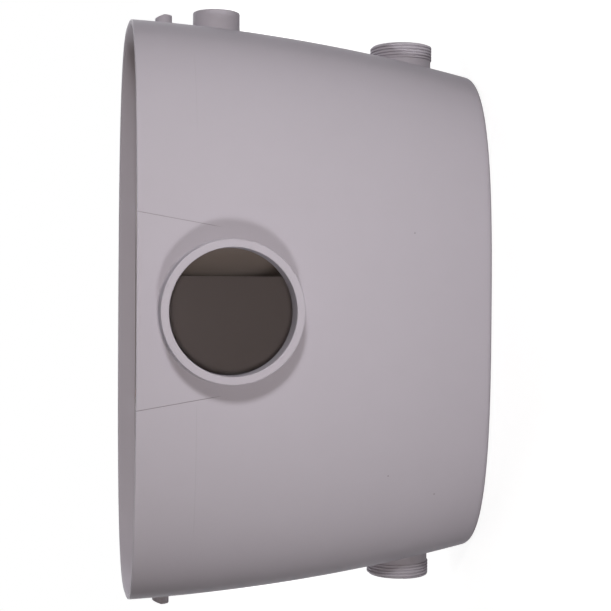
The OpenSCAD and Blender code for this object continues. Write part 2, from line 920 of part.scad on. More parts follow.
module volute_cover() {
    color("#3a3b3e")
        difference() {
            union() {
                at_shaft(lid_z)
                    linear_extrude(pump_t)
                        polygon(scroll(0));
                at_lugs(lid_z)
                    cylinder(r = lug_r, h = pump_t);
            }
            at_shaft(lid_z - eps)
                cylinder(r = shaft_r + shaft_clear / 2, h = pump_t + 2 * eps);
            at_lugs(lid_z - eps)
                cylinder(d = screw_d, h = pump_t + 2 * eps);
            at_pillars(lid_z - eps)
                cylinder(d = screw_d, h = pump_t + 2 * eps);
        }
}

module pump_screws() {
    color("#b9bcc0") {
        at_lugs(pump_z)
            mirror([0, 0, 1])
                screw(screw_d, head_d, head_h, pump_h + pump_t);
        at_pillars(lid_z)
            mirror([0, 0, 1])
                screw(screw_d, head_d, head_h, pump_t + pillar_h - tip_gap);
        at_cutter_screws(cutter_z)
            mirror([0, 0, 1])
                screw(cutter_screw_d, cutter_head_d, head_h, cutter_h + pump_t);
    }
}

module impeller() {
    hub_t = 5;
    tip_inset = 0.5;
    vane_r = impeller_d * 0.3;
    vane_h = impeller_h - vane_t / 2;
    color("#d9d5c8")
        at_shaft(impeller_z)
            difference() {
                union() {
                    translate([0, 0, impeller_h - vane_t])
                        cylinder(d = impeller_d, h = vane_t);
                    cylinder(r = shaft_r + hub_t, h = impeller_h);
                    for (i = [0:vanes - 1])
                        rotate(360 * i / vanes)
                            intersection() {
                                translate([vane_r, 0, 0])
                                    difference() {
                                        cylinder(r = vane_r, h = vane_h);
                                        translate([0, 0, -eps])
                                            cylinder(r = vane_r - vane_t, h = vane_h + 2 * eps);
                                    }
                                cube([impeller_d, impeller_d, impeller_h]);
                                cylinder(r = impeller_d / 2 - tip_inset, h = impeller_h);
                            }
                }
                translate([0, 0, -eps])
                    cylinder(r = shaft_r, h = impeller_h + 2 * eps);
            }
}

module cutter_ring() {
    slot_depth = 4;
    slot_h = 0.7 * cutter_h;
    color("#9da1a5")
        difference() {
            at_shaft(cutter_z)
                difference() {
                    cylinder(d = cutter_d, h = cutter_h);
                    translate([0, 0, -eps])
                        cylinder(d = eye_d, h = cutter_h + 2 * eps);
                    for (i = [0:cutter_slots - 1])
                        rotate(360 * i / cutter_slots)
                            translate([0, -slot_w / 2, -eps])
                                cube([eye_d / 2 + slot_depth, slot_w, slot_h]);
                }
            at_cutter_screws(cutter_z - eps)
                cylinder(d = cutter_screw_d, h = cutter_h + 2 * eps);
        }
}

module cutter_blade() {
    tip_r = eye_d / 2 - blade_gap;
    hub_t = 3;
    color("#c4c7ca")
        at_shaft(blade_z)
            difference() {
                union() {
                    cylinder(r = shaft_r + hub_t, h = blade_t);
                    intersection() {
                        translate([-tip_r, -blade_w / 2, 0])
                            cube([2 * tip_r, blade_w, blade_t]);
                        cylinder(r = tip_r, h = blade_t);
                    }
                }
                translate([0, 0, -eps])
                    cylinder(d = stud_d, h = blade_t + 2 * eps);
            }
}

module cutter_nut() {
    nut_d = 1.85 * stud_d;
    color("#b9bcc0")
        at_shaft(blade_z - nut_h)
            difference() {
                cylinder(d = nut_d, h = nut_h, $fn = 6);
                translate([0, 0, -eps])
                    cylinder(d = stud_d, h = nut_h + 2 * eps);
            }
}

// Hose from the valve stub down and round to the volute spout, in two curves between straight cuffs
hose_top = [stub_x, 0, out_z - stub_len];
hose_end = [spout_x, spout_y, spout_z];
hose_out = 18;
hose_rise = 42;
hose_mid = [spout_x + hose_out, spout_y, spout_z + hose_rise];
hose_drop = (hose_top[2] - hose_mid[2]) / 2;
hose_curves = [
    [hose_top, hose_top - [0, 0, hose_drop], hose_mid + [0, 0, hose_drop], hose_mid],
    [hose_mid, hose_mid - [0, 0, 0.57 * hose_rise], hose_end + [0.9 * hose_out, 0, 0], hose_end]];
hose_steps = [for (c = [0, 1], k = [0:8]) if (c == 0 || k > 0) [c, k / 8]];
function moved(points, by) = [for (p = points) p + by];
function hose_rings(r) =
    let (bends = [for (s = hose_steps) tube_ring(hose_curves[s[0]], s[1], r, hose_sides)])
    concat([moved(bends[0], [0, 0, cuff_len])], bends, [moved(bends[len(bends) - 1], [-cuff_len, 0, 0])]);

module discharge_hose() {
    outside = hose_rings(hose_d / 2);
    inside = hose_rings(hose_bore / 2);
    color("#252527")
        loft(concat(outside, [for (k = [len(inside) - 1:-1:0]) inside[k]]), false);
}

module clip_ring() {
    clip_gap = 0.1;
    inside_d = hose_d + 2 * clip_gap;
    difference() {
        rod_x(inside_d + 2 * clip_t, clip_len);
        translate([-eps, 0, 0])
            rod_x(inside_d, clip_len + 2 * eps);
    }
}

module hose_clips() {
    from_end = (cuff_len - clip_len) / 2;
    color("#b9bcc0") {
        translate(hose_end - [from_end + clip_len, 0, 0])
            clip_ring();
        translate(hose_top + [0, 0, from_end])
            rotate([0, -90, 0])
                clip_ring();
    }
}

module valve_body() {
    outlet_end = out_x - outlet_short;
    outlet_bore = outlet_d - 2 * outlet_t;
    left_end = stub_x - hose_d / 2;
    color("#45464a")
        difference() {
            union() {
                translate([left_end, 0, out_z])
                    rod_x(2 * valve_r, out_in - left_end);
                translate([out_in - eps, 0, out_z])
                    rod_x(outlet_d, outlet_end - out_in + eps);
                translate([stub_x, 0, out_z - stub_len])
                    cylinder(d = stub_d, h = stub_len);
            }
            translate([seat_x, 0, out_z])
                rod_x(chamber_d, chamber_len);
            translate([stub_x, 0, out_z])
                rod_x(hose_bore, seat_x - stub_x + eps);
            translate([stub_x, 0, out_z - stub_len - eps])
                cylinder(d = stub_bore, h = stub_len + eps);
            translate([out_in - valve_t - eps, 0, out_z])
                rod_x(outlet_bore, outlet_end - out_in + valve_t + 2 * eps);
            translate([out_in + groove_at, 0, out_z])
                oring_groove(outlet_d);
            translate([valve_pin_x, 0, valve_pin_z])
                rod_y(valve_pin_d, 2 * valve_r);
        }
}

module oring_groove(d) {
    difference() {
        rod_x(d + 1, oring_d + groove_gap);
        translate([-eps, 0, 0])
            rod_x(d - 2 * oring_d, oring_d + groove_gap + 2 * eps);
    }
}

module outlet_seal() {
    color("#1c1c1e")
        translate([out_in + groove_at + (oring_d + groove_gap) / 2, 0, out_z])
            rotate([0, 90, 0])
                rotate_extrude()
                    translate([(out_bore - oring_d - outlet_gap) / 2, 0])
                        circle(d = oring_d);
}

// Flap that hangs from a pin along Y at the origin and closes towards -X
module flap(r, rise, knuckle, pin, half_w) {
    difference() {
        union() {
            translate([-knuckle, 0, -rise])
                rod_x(2 * r, flap_t);
            translate([-knuckle, -half_w, -rise])
                cube([flap_t, 2 * half_w, rise]);
            rod_y(2 * knuckle, 2 * half_w);
        }
        rod_y(pin + 2 * run_gap, 2 * half_w + 2 * eps);
    }
}

module valve_flap() {
    color("#1c1c1e")
        translate([valve_pin_x, 0, valve_pin_z])
            flap(valve_flap_r, valve_rise, valve_knuckle_r, valve_pin_d, valve_ear);
}

module valve_flap_pin() {
    color("#c4c7ca")
        translate([valve_pin_x, 0, valve_pin_z])
            rod_y(valve_pin_d, 2 * sqrt(valve_r * valve_r - valve_rise * valve_rise) - 1);
}

// Frame that pushes into a port and carries the flap, with the pin at the origin
module flap_frame() {
    difference() {
        union() {
            translate([-flap_seat - frame_t, 0, -flap_rise])
                rod_x(2 * frame_r, frame_t);
            translate([-flap_seat - frame_t - sleeve_len, 0, -flap_rise])
                rod_x(port_bore, sleeve_len + eps);
            for (y = [-flap_half_w - ear_gap - ear_t, flap_half_w + ear_gap])
                translate([-flap_seat - eps, y, -knuckle_r])
                    cube([flap_seat + knuckle_r, ear_t, 2 * knuckle_r]);
        }
        translate([-flap_seat - frame_t - sleeve_len - eps, 0, -flap_rise])
            rod_x(port_bore - 2 * sleeve_t, sleeve_len + frame_t + 2 * eps);
        rod_y(pin_d, 2 * (flap_half_w + ear_t + 1));
    }
}

module at_left_flap() {
    translate([-flap_pin_x, 0, flap_pin_z])
        children();
}

module at_right_flap() {
    mirror([1, 0, 0])
        at_left_flap()
            children();
}

module side_pin() {
    rod_y(pin_d, 2 * (flap_half_w + ear_gap + ear_t));
}

module left_flap_frame() {
    color("#5a5b5f")
        at_left_flap()
            flap_frame();
}

module right_flap_frame() {
    color("#5a5b5f")
        at_right_flap()
            flap_frame();
}

module left_flap() {
    color("#1c1c1e")
        at_left_flap()
            flap(flap_r, flap_rise, knuckle_r, pin_d, flap_half_w);
}

module right_flap() {
    color("#1c1c1e")
        at_right_flap()
            flap(flap_r, flap_rise, knuckle_r, pin_d, flap_half_w);
}

module left_flap_pin() {
    color("#c4c7ca")
        at_left_flap()
            side_pin();
}

module right_flap_pin() {
    color("#c4c7ca")
        at_right_flap()
            side_pin();
}

module at_switch(z) {
    translate([switch_x, 0, z])
        children();
}

module at_clamps() {
    for (turn = clamp_turns)
        rotate(turn + 45)
            translate([clamp_at, 0, 0])
                children();
}

module pressure_tube() {
    bottom = floor_t + tube_gap;
    top = tray_floor - cover_t;
    color("#45464a")
        difference() {
            union() {
                at_switch(bottom)
                    cylinder(d = tube_d, h = top - bottom);
                at_switch(top - flange_t)
                    cylinder(d = flange_d, h = flange_t);
            }
            at_switch(bottom - eps)
                cylinder(d = tube_d - 2 * tube_t, h = top - bottom + 2 * eps);
            at_switch(top - flange_t - eps)
                at_clamps()
                    cylinder(d = clamp_screw_d, h = flange_t + 2 * eps);
        }
}

module diaphragm() {
    bead_r = 14;
    bead_w = 2;
    bead_h = 1.2;
    color("#1c1c1e")
        difference() {
            union() {
                at_switch(diaphragm_z)
                    cylinder(d = flange_d, h = diaphragm_t);
                at_switch(cap_z - eps)
                    rotate_extrude()
                        translate([bead_r, 0])
                            square([bead_w, bead_h]);
            }
            at_switch(diaphragm_z - eps)
                at_clamps()
                    cylinder(d = clamp_screw_d, h = diaphragm_t + 2 * eps);
        }
}

// Cap over the diaphragm, with the bracket that carries the microswitch
module switch_cap() {
    dome_d = 40;
    dome_t = 3;
    bracket_y = micro_y + micro_w;
    color("#45464a")
        difference() {
            union() {
                at_switch(cap_z)
                    cylinder(d = flange_d, h = flange_t);
                at_switch(cap_z)
                    cylinder(d = dome_d, h = cap_top - cap_z);
                translate([micro_x, bracket_y, cap_top - eps])
                    cube([micro_len, bracket_t, micro_z + micro_h - cap_top]);
            }
            at_switch(cap_z - eps)
                cylinder(d = dome_d - 2 * dome_t, h = cap_room);
            at_switch(cap_top - cap_t - 2 * eps)
                cylinder(d = stem_d + 2 * run_gap, h = cap_t + 4 * eps);
            at_switch(cap_z - eps)
                at_clamps()
                    cylinder(d = clamp_screw_d, h = flange_t + 2 * eps);
        }
}

module switch_screws() {
    color("#b9bcc0")
        at_switch(cap_z + flange_t)
            at_clamps()
                screw(clamp_screw_d, clamp_head_d, head_h, flange_t + diaphragm_t + cover_t + flange_t);
}

module actuator_pin() {
    color("#e4e1d8") {
        at_switch(disc_z)
            cylinder(r = disc_r, h = disc_t);
        at_switch(disc_z)
            cylinder(d = stem_d, h = stem_top - tip_len - disc_z);
        at_switch(disc_z)
            cylinder(d = tip_d, h = stem_top - disc_z);
    }
}

// Microswitch body with the two ears that carry its lever
module microswitch() {
    color("#232427")
        difference() {
            union() {
                translate([micro_x, micro_y, micro_z])
                    cube([micro_len, micro_w, micro_h]);
                for (y = [micro_y, micro_y + micro_w - micro_ear])
                    translate([pivot_x - micro_ear_r, y, pivot_z - micro_ear_r])
                        cube([2 * micro_ear_r, micro_ear, micro_z - pivot_z + micro_ear_r + eps]);
                translate([micro_x, micro_y + (micro_w - tag_t) / 2, micro_z + micro_h - eps])
                    for (share = micro_tabs)
                        translate([micro_len * share, 0, 0])
                            cube([tab_w, tag_t, tab_len]);
            }
            translate([pivot_x, micro_y + micro_w / 2, pivot_z])
                rod_y(2 * (pivot_r + run_gap), micro_w + 2);
            translate([pivot_x + button_at, button_y, micro_z - eps])
                cylinder(r = button_r + run_gap, h = micro_h / 2);
        }
}

module microswitch_lever() {
    side = 0.3;
    width = micro_w - 2 * micro_ear - 2 * side;
    middle = micro_y + micro_w / 2;
    color("#c4c7ca") {
        translate([pivot_x, middle - width / 2, lever_z])
            cube([lever_len, width, lever_t]);
        translate([pivot_x, middle, pivot_z]) {
            rod_y(2 * eye_r, width);
            rod_y(2 * pivot_r, micro_w);
        }
    }
}

module microswitch_button() {
    foot = lever_z + lever_t + switch_gap;
    color("#b5302a")
        translate([pivot_x + button_at, button_y, foot])
            cylinder(r = button_r, h = micro_z + button_in - foot);
}

module capacitor() {
    color("#dcdcd8") {
        translate([capacitor_x, 0, capacitor_z])
            rod_y(cap_d, cap_len);
        for (x = [-tag_pitch / 2, tag_pitch / 2])
            translate([capacitor_x + x - tag_w / 2, cap_len / 2 - eps, capacitor_z - tag_t / 2])
                cube([tag_w, tag_len, tag_t]);
    }
}

module capacitor_clip() {
    width = 16;
    foot_h = 3;
    color("#45464a")
        difference() {
            union() {
                translate([capacitor_x, 0, capacitor_z])
                    rod_y(cap_d + 2 * strap_t, width);
                translate([capacitor_x - cap_d / 2 - strap_t, -width / 2, tray_floor])
                    cube([cap_d + 2 * strap_t, width, foot_h]);
            }
            translate([capacitor_x, 0, capacitor_z])
                rod_y(cap_d, width + 2);
            translate([capacitor_x - cap_d, -width, capacitor_z + cap_d / 4])
                cube([2 * cap_d, 2 * width, cap_d]);
        }
}

module at_poles(z) {
    for (i = [0:poles - 1])
        translate([term_x, pole_y(i), z])
            children();
}

module terminal_block() {
    color("#e9e6dc")
        difference() {
            union() {
                translate([term_x - term_w / 2, -term_len / 2, tray_floor])
                    cube([term_w, term_len, term_base_h]);
                at_poles(tray_floor)
                    translate([-term_w / 2 + term_step, -pole_pitch / 2 + term_slot, 0])
                        cube([term_w - 2 * term_step, pole_pitch - 2 * term_slot, term_h]);
            }
            for (x = [-term_w / 4, term_w / 4])
                at_poles(tray_floor + term_h - term_hole)
                    translate([x, 0, 0])
                        cylinder(d = term_screw_d, h = term_hole + eps);
        }
}

module terminal_screws() {
    color("#c9b458")
        for (x = [-term_w / 4, term_w / 4])
            at_poles(tray_floor + term_h - term_hole)
                translate([x, 0, 0])
                    cylinder(d = term_screw_d, h = term_screw_h);
}

// Leads, each a chain of cubic curves
lead_end_gap = 0.2;
lead_z = cover_top + collar_h + lead_d / 2 + lead_end_gap;
lead_bend = 10;
lead_rise = 16;
lead_pitch = 5;
lead_shift = 2;
term_port_z = tray_floor + (term_base_h + term_h) / 2;
term_left = term_x - term_w / 2 + term_step - lead_end_gap;
term_right = term_x + term_w / 2 - term_step + lead_d / 2 + lead_end_gap;
motor_lead_gap = 8;
motor_lead_x = motor_x - bearing_boss_r - motor_lead_gap;
motor_lead_side = 9;
motor_lead_pitch = 4;
motor_lead_fall = 26;
micro_tab_z = micro_z + micro_h + tab_len;
tag_top = capacitor_z + tag_t / 2 + lead_end_gap;
function pole_y(i) = (i - (poles - 1) / 2) * pole_pitch;
function up(h) = [0, 0, h];
function right(d) = [d, 0, 0];
function straight(a, b) = [a, a + (b - a) / 3, b - (b - a) / 3, b];
cap_leads = [for (i = [0, 1])
    let (from = [capacitor_x + (i - 0.5) * tag_pitch, (cap_len + tag_len) / 2, tag_top],
        to = [term_left, pole_y(poles - 1 - i), term_port_z],
        rise = lead_rise - lead_pitch * i,
        mid = [switch_x - lead_bend, cap_len / 2 + 2 * lead_shift - lead_pitch * i, tag_top + rise],
        before = mid[0] - from[0],
        after = to[0] - mid[0])
    [[from, from + up(rise), mid - right(0.5 * before), mid],
        [mid, mid + right(0.4 * after), to - right(0.55 * after), to]]];
micro_leads = [for (i = [0, 1])
    let (from = [micro_x + micro_len * micro_tabs[2 - i] + tab_w / 2, micro_y + micro_w / 2, micro_tab_z],
        to = [term_left, pole_y(2 - i), term_port_z],
        mid = [term_left - lead_bend, to[1] + lead_shift, micro_tab_z - 2 * lead_shift])
    [[from, from + up(1.2 * lead_bend), mid + up(1.4 * lead_bend), mid],
        [mid, mid - up(1.8 * lead_bend), to - right(lead_bend), to]]];
motor_leads = [for (i = [0:2])
    let (y = pole_y(2) - motor_lead_side - motor_lead_pitch * i,
        from = [term_right, pole_y(2 - i), term_port_z],
        top = [from[0], from[1], lead_z - lead_shift],
        over = [vent_x, y, lead_z],
        fall = [motor_lead_x, y, lead_z - motor_lead_fall],
        to = [motor_lead_x, y, upper_z + shield_t + lead_end_gap])
    [straight(from, top),
        [top, top + up(0.9 * lead_bend), over - right(0.9 * (vent_x - term_right)), over],
        [over, over + right(0.64 * (motor_lead_x - vent_x)), fall + up(motor_lead_fall + lead_bend), fall],
        straight(fall, to)]];

module lead(curves) {
    steps = 10;
    sides = 6;
    loft([for (c = [0:len(curves) - 1], k = [0:steps]) if (c == 0 || k > 0)
        tube_ring(curves[c], k / steps, lead_d / 2, sides)]);
}

module lead_wires() {
    color("#7a4a2a")
        for (curves = concat(cap_leads, micro_leads, motor_leads))
            lead(curves);
}

tub();
cover_gasket();
inner_cover();
motor_well();
electrics_tray();
cover_screws();
vent_filter();
motor_mount();
motor_lower_shield();
motor_upper_shield();
stator_core();
stator_windings();
motor_bolts();
lower_bearing();
upper_bearing();
rotor_core();
motor_shaft();
shaft_seal();
volute_casing();
volute_cover();
pump_screws();
impeller();
cutter_ring();
cutter_blade();
cutter_nut();
discharge_hose();
hose_clips();
valve_body();
outlet_seal();
valve_flap();
valve_flap_pin();
left_flap_frame();
left_flap();
left_flap_pin();
right_flap_frame();
right_flap();
right_flap_pin();
pressure_tube();
diaphragm();
switch_cap();
switch_screws();
actuator_pin();
microswitch();
microswitch_lever();
microswitch_button();
capacitor();
capacitor_clip();
terminal_block();
terminal_screws();
lead_wires();
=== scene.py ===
import json
from math import atan2, copysign, cos, pi, radians, sin

import bmesh
import bpy
from mathutils import Matrix, Vector
from mathutils.geometry import interpolate_bezier


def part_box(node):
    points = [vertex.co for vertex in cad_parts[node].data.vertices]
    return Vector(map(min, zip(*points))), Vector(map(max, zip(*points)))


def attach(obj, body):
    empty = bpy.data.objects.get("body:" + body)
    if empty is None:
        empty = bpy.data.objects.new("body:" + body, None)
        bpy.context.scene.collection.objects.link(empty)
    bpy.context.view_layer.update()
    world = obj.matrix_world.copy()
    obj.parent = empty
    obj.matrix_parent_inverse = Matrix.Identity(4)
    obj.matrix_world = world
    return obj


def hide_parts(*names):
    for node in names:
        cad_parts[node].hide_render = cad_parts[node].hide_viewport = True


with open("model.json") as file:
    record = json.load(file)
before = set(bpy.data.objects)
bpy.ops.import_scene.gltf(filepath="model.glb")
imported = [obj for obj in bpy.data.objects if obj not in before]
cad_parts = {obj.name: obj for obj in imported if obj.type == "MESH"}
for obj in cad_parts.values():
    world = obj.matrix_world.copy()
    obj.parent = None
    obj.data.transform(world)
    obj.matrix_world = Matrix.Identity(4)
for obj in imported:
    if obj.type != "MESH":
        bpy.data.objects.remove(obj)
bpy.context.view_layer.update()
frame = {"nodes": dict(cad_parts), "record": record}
scene = bpy.context.scene
scene.view_settings.view_transform = "Standard"
mm = 0.001
print("frame loaded:", len(frame["nodes"]), "nodes")


# camera: the photo lies on its side, so its up is the tank's right
photoView = {"lens": 74.947, "sensor": 36, "aim": (3.651, 0, 123.647), "distance": 982.866,
             "rise": 12.545, "swing": 0.571, "roll": 0.267}


def setCamera():
    rise, swing, roll = (radians(photoView[key]) for key in ("rise", "swing", "roll"))
    back = Vector((sin(swing) * cos(rise), -cos(swing) * cos(rise), sin(rise)))
    right = (-back).cross(Vector((0, 0, 1))).normalized()
    up = right.cross(-back)
    imageUp = right * cos(roll) + up * sin(roll)
    imageRight = right * sin(roll) - up * cos(roll)
    data = bpy.data.cameras.new("photoCamera")
    data.sensor_width = photoView["sensor"]
    data.lens = photoView["lens"]
    camera = bpy.data.objects.new("photoCamera", data)
    scene.collection.objects.link(camera)
    camera.matrix_world = Matrix((imageRight, imageUp, back)).transposed().to_4x4()
    camera.matrix_world.translation = (Vector(photoView["aim"]) + back * photoView["distance"]) * mm
    scene.camera = camera


setCamera()
print("camera set")


class Wire:
    def __init__(self, finish, socket):
        self.finish = finish
        self.socket = socket

    def maths(self, operation, *others):
        sockets = dict(enumerate((self,) + others))
        return self.finish.node("ShaderNodeMath", {"operation": operation}, sockets)

    def reflected(self, operation, other):
        return self.finish.node("ShaderNodeMath", {"operation": operation}, {0: other, 1: self})

    def __add__(self, other):
        return self.maths("ADD", other)

    def __radd__(self, other):
        return self.maths("ADD", other)

    def __sub__(self, other):
        return self.maths("SUBTRACT", other)

    def __rsub__(self, other):
        return self.reflected("SUBTRACT", other)

    def __mul__(self, other):
        return self.maths("MULTIPLY", other)

    def __rmul__(self, other):
        return self.maths("MULTIPLY", other)

    def __truediv__(self, other):
        return self.maths("DIVIDE", other)

    def __rtruediv__(self, other):
        return self.reflected("DIVIDE", other)

    def __lt__(self, other):
        return self.maths("LESS_THAN", other)

    def __gt__(self, other):
        return self.maths("GREATER_THAN", other)

    def __abs__(self):
        return self.maths("ABSOLUTE")

    def clamped(self):
        return self.maths("MAXIMUM", 0.0).maths("MINIMUM", 1.0)


class Finish:
    def __init__(self, name):
        self.material = bpy.data.materials.new(name)
        self.material.use_nodes = True
        self.tree = self.material.node_tree
        self.shader = self.tree.nodes["Principled BSDF"]
        self.place = self.node("ShaderNodeTexCoord", out="Object")

    def node(self, kind, settings=None, sockets=None, out=0):
        made = self.tree.nodes.new(kind)
        for key, value in (settings or {}).items():
            setattr(made, key, value)
        for key, value in (sockets or {}).items():
            self.feed(made.inputs[key], value)
        return Wire(self, made.outputs[out])

    def feed(self, socket, value):
        if isinstance(value, Wire):
            self.tree.links.new(value.socket, socket)
        else:
            socket.default_value = value

    def noise(self, scale, detail=2.0):
        return self.node("ShaderNodeTexNoise", {}, {"Vector": self.place, "Scale": scale, "Detail": detail})

    def mix(self, factor, first, second):
        return self.node("ShaderNodeMix", {"data_type": "RGBA"}, {0: factor, 6: first, 7: second}, out=2)

    def axes(self):
        return [self.node("ShaderNodeSeparateXYZ", {}, {0: self.place}, out=index) for index in range(3)]

    def bump(self, height, distance, strength):
        return self.node("ShaderNodeBump", {}, {"Height": height, "Distance": distance, "Strength": strength})

    def done(self, **sockets):
        for key, value in sockets.items():
            self.feed(self.shader.inputs[key.replace("_", " ").title().replace("Ior", "IOR")], value)
        return self.material


# grey tank plastic: fine moulded grain, hairlines left by the mould on the front wall as shallow grooves with
# painted shade in them (drawn darker on the -x side, where less light falls), a few dark specks
tankFinish = {
    "colour": (0.464, 0.432, 0.486, 1), "worn": (0.420, 0.391, 0.438, 1), "line": (0.22, 0.20, 0.215, 1),
    "broad": 7, "flow": 60, "grain": 1500, "broadShare": 0.55, "flowShare": 0.2,
    "rough": 0.60, "roughFlow": 0.1, "roughGrain": 0.06, "gloss": 0.14,
    "grainHigh": 0.04, "lineDeep": 0.6, "relief": 0.3 * mm, "reliefShow": 0.7,
    "outward": -0.3, "frontFrom": -20 * mm, "lineWide": 0.34 * mm, "lineFade": 8 * mm,
    "sideLine": ((69.9, 268.9), (58.6, 201)), "leftLineShade": 1.28, "rightLineShade": 0.85,
    "witness": 219, "witnessRuns": (((-160, -62), 0.20), ((124, 184), 0.13)),
    "specks": ((-118.8, 78.1), (-133.8, 41.2), (57.1, 61.0)), "speckWide": 0.55 * mm, "speckDeep": 0.75,
}


def lineAcross(x, z, start, end, look):
    start, end = Vector(start) * mm, Vector(end) * mm
    length = (end - start).length
    along = (end - start) / length
    reach = (x - start.x) * along.x + (z - start.y) * along.y
    off = abs((x - start.x) * along.y - (z - start.y) * along.x)
    ends = reach.maths("MINIMUM", length - reach) / look["lineFade"]
    return (1 - off / look["lineWide"]).clamped() * ends.clamped()


def tankPlastic():
    look = tankFinish
    made = Finish("tankPlastic")
    x, y, z = made.axes()
    facing = made.node("ShaderNodeNewGeometry", out="Normal")
    outward = made.node("ShaderNodeSeparateXYZ", {}, {0: facing}, out=1) < look["outward"]
    front = outward * (y < look["frontFrom"])   # the outside of the front wall only
    # painted shade: the hairlines, the witness line among them, are darkened as if shade lay in their grooves,
    # more on the -x side; the same factor deepens their bump
    deep = (x < 0.0) * (look["leftLineShade"] - look["rightLineShade"]) + look["rightLineShade"]
    lines = lineAcross(abs(x), z, *look["sideLine"], look) * deep
    for (start, end), strength in look["witnessRuns"]:
        lines = lines + lineAcross(x, z, (start, look["witness"]), (end, look["witness"]), look) * strength
    lines = lines * front
    specks = 0.0
    for spot in look["specks"]:
        across, rise = x - spot[0] * mm, z - spot[1] * mm
        specks = (across * across + rise * rise < look["speckWide"] ** 2) * front + specks
    broad = made.noise(look["broad"], 3)
    flow = made.noise(look["flow"])
    grain = made.noise(look["grain"])
    tone = made.mix(broad * look["broadShare"] + flow * look["flowShare"], look["colour"], look["worn"])
    # painted shade in the hairline grooves and the real dark specks share one colour
    tone = made.mix((lines + specks * look["speckDeep"]).clamped(), tone, look["line"])
    rough = look["rough"] + (flow - 0.5) * look["roughFlow"] + (grain - 0.5) * look["roughGrain"]
    height = grain * look["grainHigh"] - lines * look["lineDeep"]
    return made.done(base_color=tone, roughness=rough, specular_ior_level=look["gloss"],
                     normal=made.bump(height, look["relief"], look["reliefShow"]))


# the other moulded, rubber and metal finishes
mouldedFinishes = {
    "cover_plastic": {"name": "coverPlastic", "rough": 0.48, "grain": 1100, "depth": 0.06,
                      "colour": (0.172, 0.138, 0.124, 1), "second": (0.206, 0.168, 0.150, 1)},
    "dark_plastic": {"name": "darkPlastic", "rough": 0.42, "grain": 1300, "depth": 0.05,
                     "colour": (0.036, 0.037, 0.040, 1), "second": (0.055, 0.056, 0.060, 1)},
    "rubber": {"name": "blackRubber", "rough": 0.72, "grain": 700, "depth": 0.12,
               "colour": (0.016, 0.016, 0.017, 1), "second": (0.034, 0.033, 0.033, 1)},
    "impeller_plastic": {"name": "impellerPlastic", "rough": 0.38, "grain": 1200, "depth": 0.04,
                         "colour": (0.62, 0.58, 0.47, 1), "second": (0.54, 0.50, 0.40, 1)},
    "white_plastic": {"name": "whitePlastic", "rough": 0.36, "grain": 1500, "depth": 0.03,
                      "colour": (0.74, 0.73, 0.69, 1), "second": (0.66, 0.65, 0.60, 1)},
    "red_plastic": {"name": "redPlastic", "rough": 0.35, "grain": 1500, "depth": 0.03,
                    "colour": (0.52, 0.035, 0.025, 1), "second": (0.42, 0.030, 0.022, 1)},
}
mouldedTexture = {"broad": 40, "broadShare": 0.8, "roughSpread": 0.16, "relief": 0.4 * mm, "reliefShow": 0.8}


def moulded(look):
    shared = mouldedTexture
    made = Finish(look["name"])
    broad = made.noise(shared["broad"], 3)
    grain = made.noise(look["grain"], 3)
    share = broad * shared["broadShare"] + grain * (1 - shared["broadShare"])
    return made.done(base_color=made.mix(share, look["colour"], look["second"]),
                     roughness=look["rough"] + (broad - 0.5) * shared["roughSpread"],
                     normal=made.bump(grain * look["depth"], shared["relief"], shared["reliefShow"]))


metalFinishes = {
    "steel": {"name": "zincSteel", "rough": 0.34, "grain": 900,
              "colour": (0.50, 0.50, 0.49, 1), "second": (0.38, 0.38, 0.37, 1)},
    "shield_metal": {"name": "castAluminium", "rough": 0.46, "grain": 520,
                     "colour": (0.42, 0.43, 0.44, 1), "second": (0.32, 0.33, 0.34, 1)},
    "screw_brass": {"name": "screwBrass", "rough": 0.32, "grain": 900,
                    "colour": (0.70, 0.52, 0.22, 1), "second": (0.56, 0.40, 0.16, 1)},
}
metalTexture = {"broad": 55, "roughBroad": 0.22, "roughGrain": 0.10, "depth": 0.08,
                "relief": 0.4 * mm, "reliefShow": 0.6}


def metal(look):
    shared = metalTexture
    made = Finish(look["name"])
    broad = made.noise(shared["broad"], 4)
    grain = made.noise(look["grain"], 3)
    rough = look["rough"] + (broad - 0.5) * shared["roughBroad"] + (grain - 0.5) * shared["roughGrain"]
    return made.done(base_color=made.mix(broad, look["colour"], look["second"]),
                     metallic=1.0, roughness=rough,
                     normal=made.bump(grain * shared["depth"], shared["relief"], shared["reliefShow"]))


# stacked sheet steel: thin dark lines between the sheets, and a few rusty stains
sheetFinish = {"colour": (0.36, 0.365, 0.37, 1), "gap": (0.06, 0.055, 0.05, 1),
               "rust": (0.20, 0.13, 0.085, 1), "sheet": 0.65 * mm, "gapShare": 0.24, "gapDull": 0.7,
               "stains": 90, "stainFrom": 0.55, "stainDeep": 1.6, "stainRough": 0.4,
               "rough": 0.42, "relief": 0.2 * mm, "reliefShow": 0.6}


def laminations():
    look = sheetFinish
    made = Finish("sheetSteel")
    z = made.axes()[2]
    gap = (z / look["sheet"]).maths("FRACT") < look["gapShare"]
    stain = (made.noise(look["stains"], 4) - look["stainFrom"]).maths("MAXIMUM", 0.0) * look["stainDeep"]
    tone = made.mix(stain, made.mix(gap, look["colour"], look["gap"]), look["rust"])
    return made.done(base_color=tone, metallic=1 - gap * look["gapDull"],
                     roughness=look["rough"] + stain * look["stainRough"],
                     normal=made.bump(1 - gap, look["relief"], look["reliefShow"]))


# varnished winding wire, laid round the shaft, with painted shade in the hollows between the turns
shaftAt = (80.271, 0)
wireFinish = {"colour": (0.50, 0.20, 0.075, 1), "low": (0.17, 0.06, 0.025, 1),
              "pitch": 0.75 * mm, "lean": 0.8, "metal": 0.55, "varnish": 0.4,
              "rough": 0.34, "cloud": 300, "cloudRough": 0.1, "relief": 0.3 * mm, "reliefShow": 0.8}


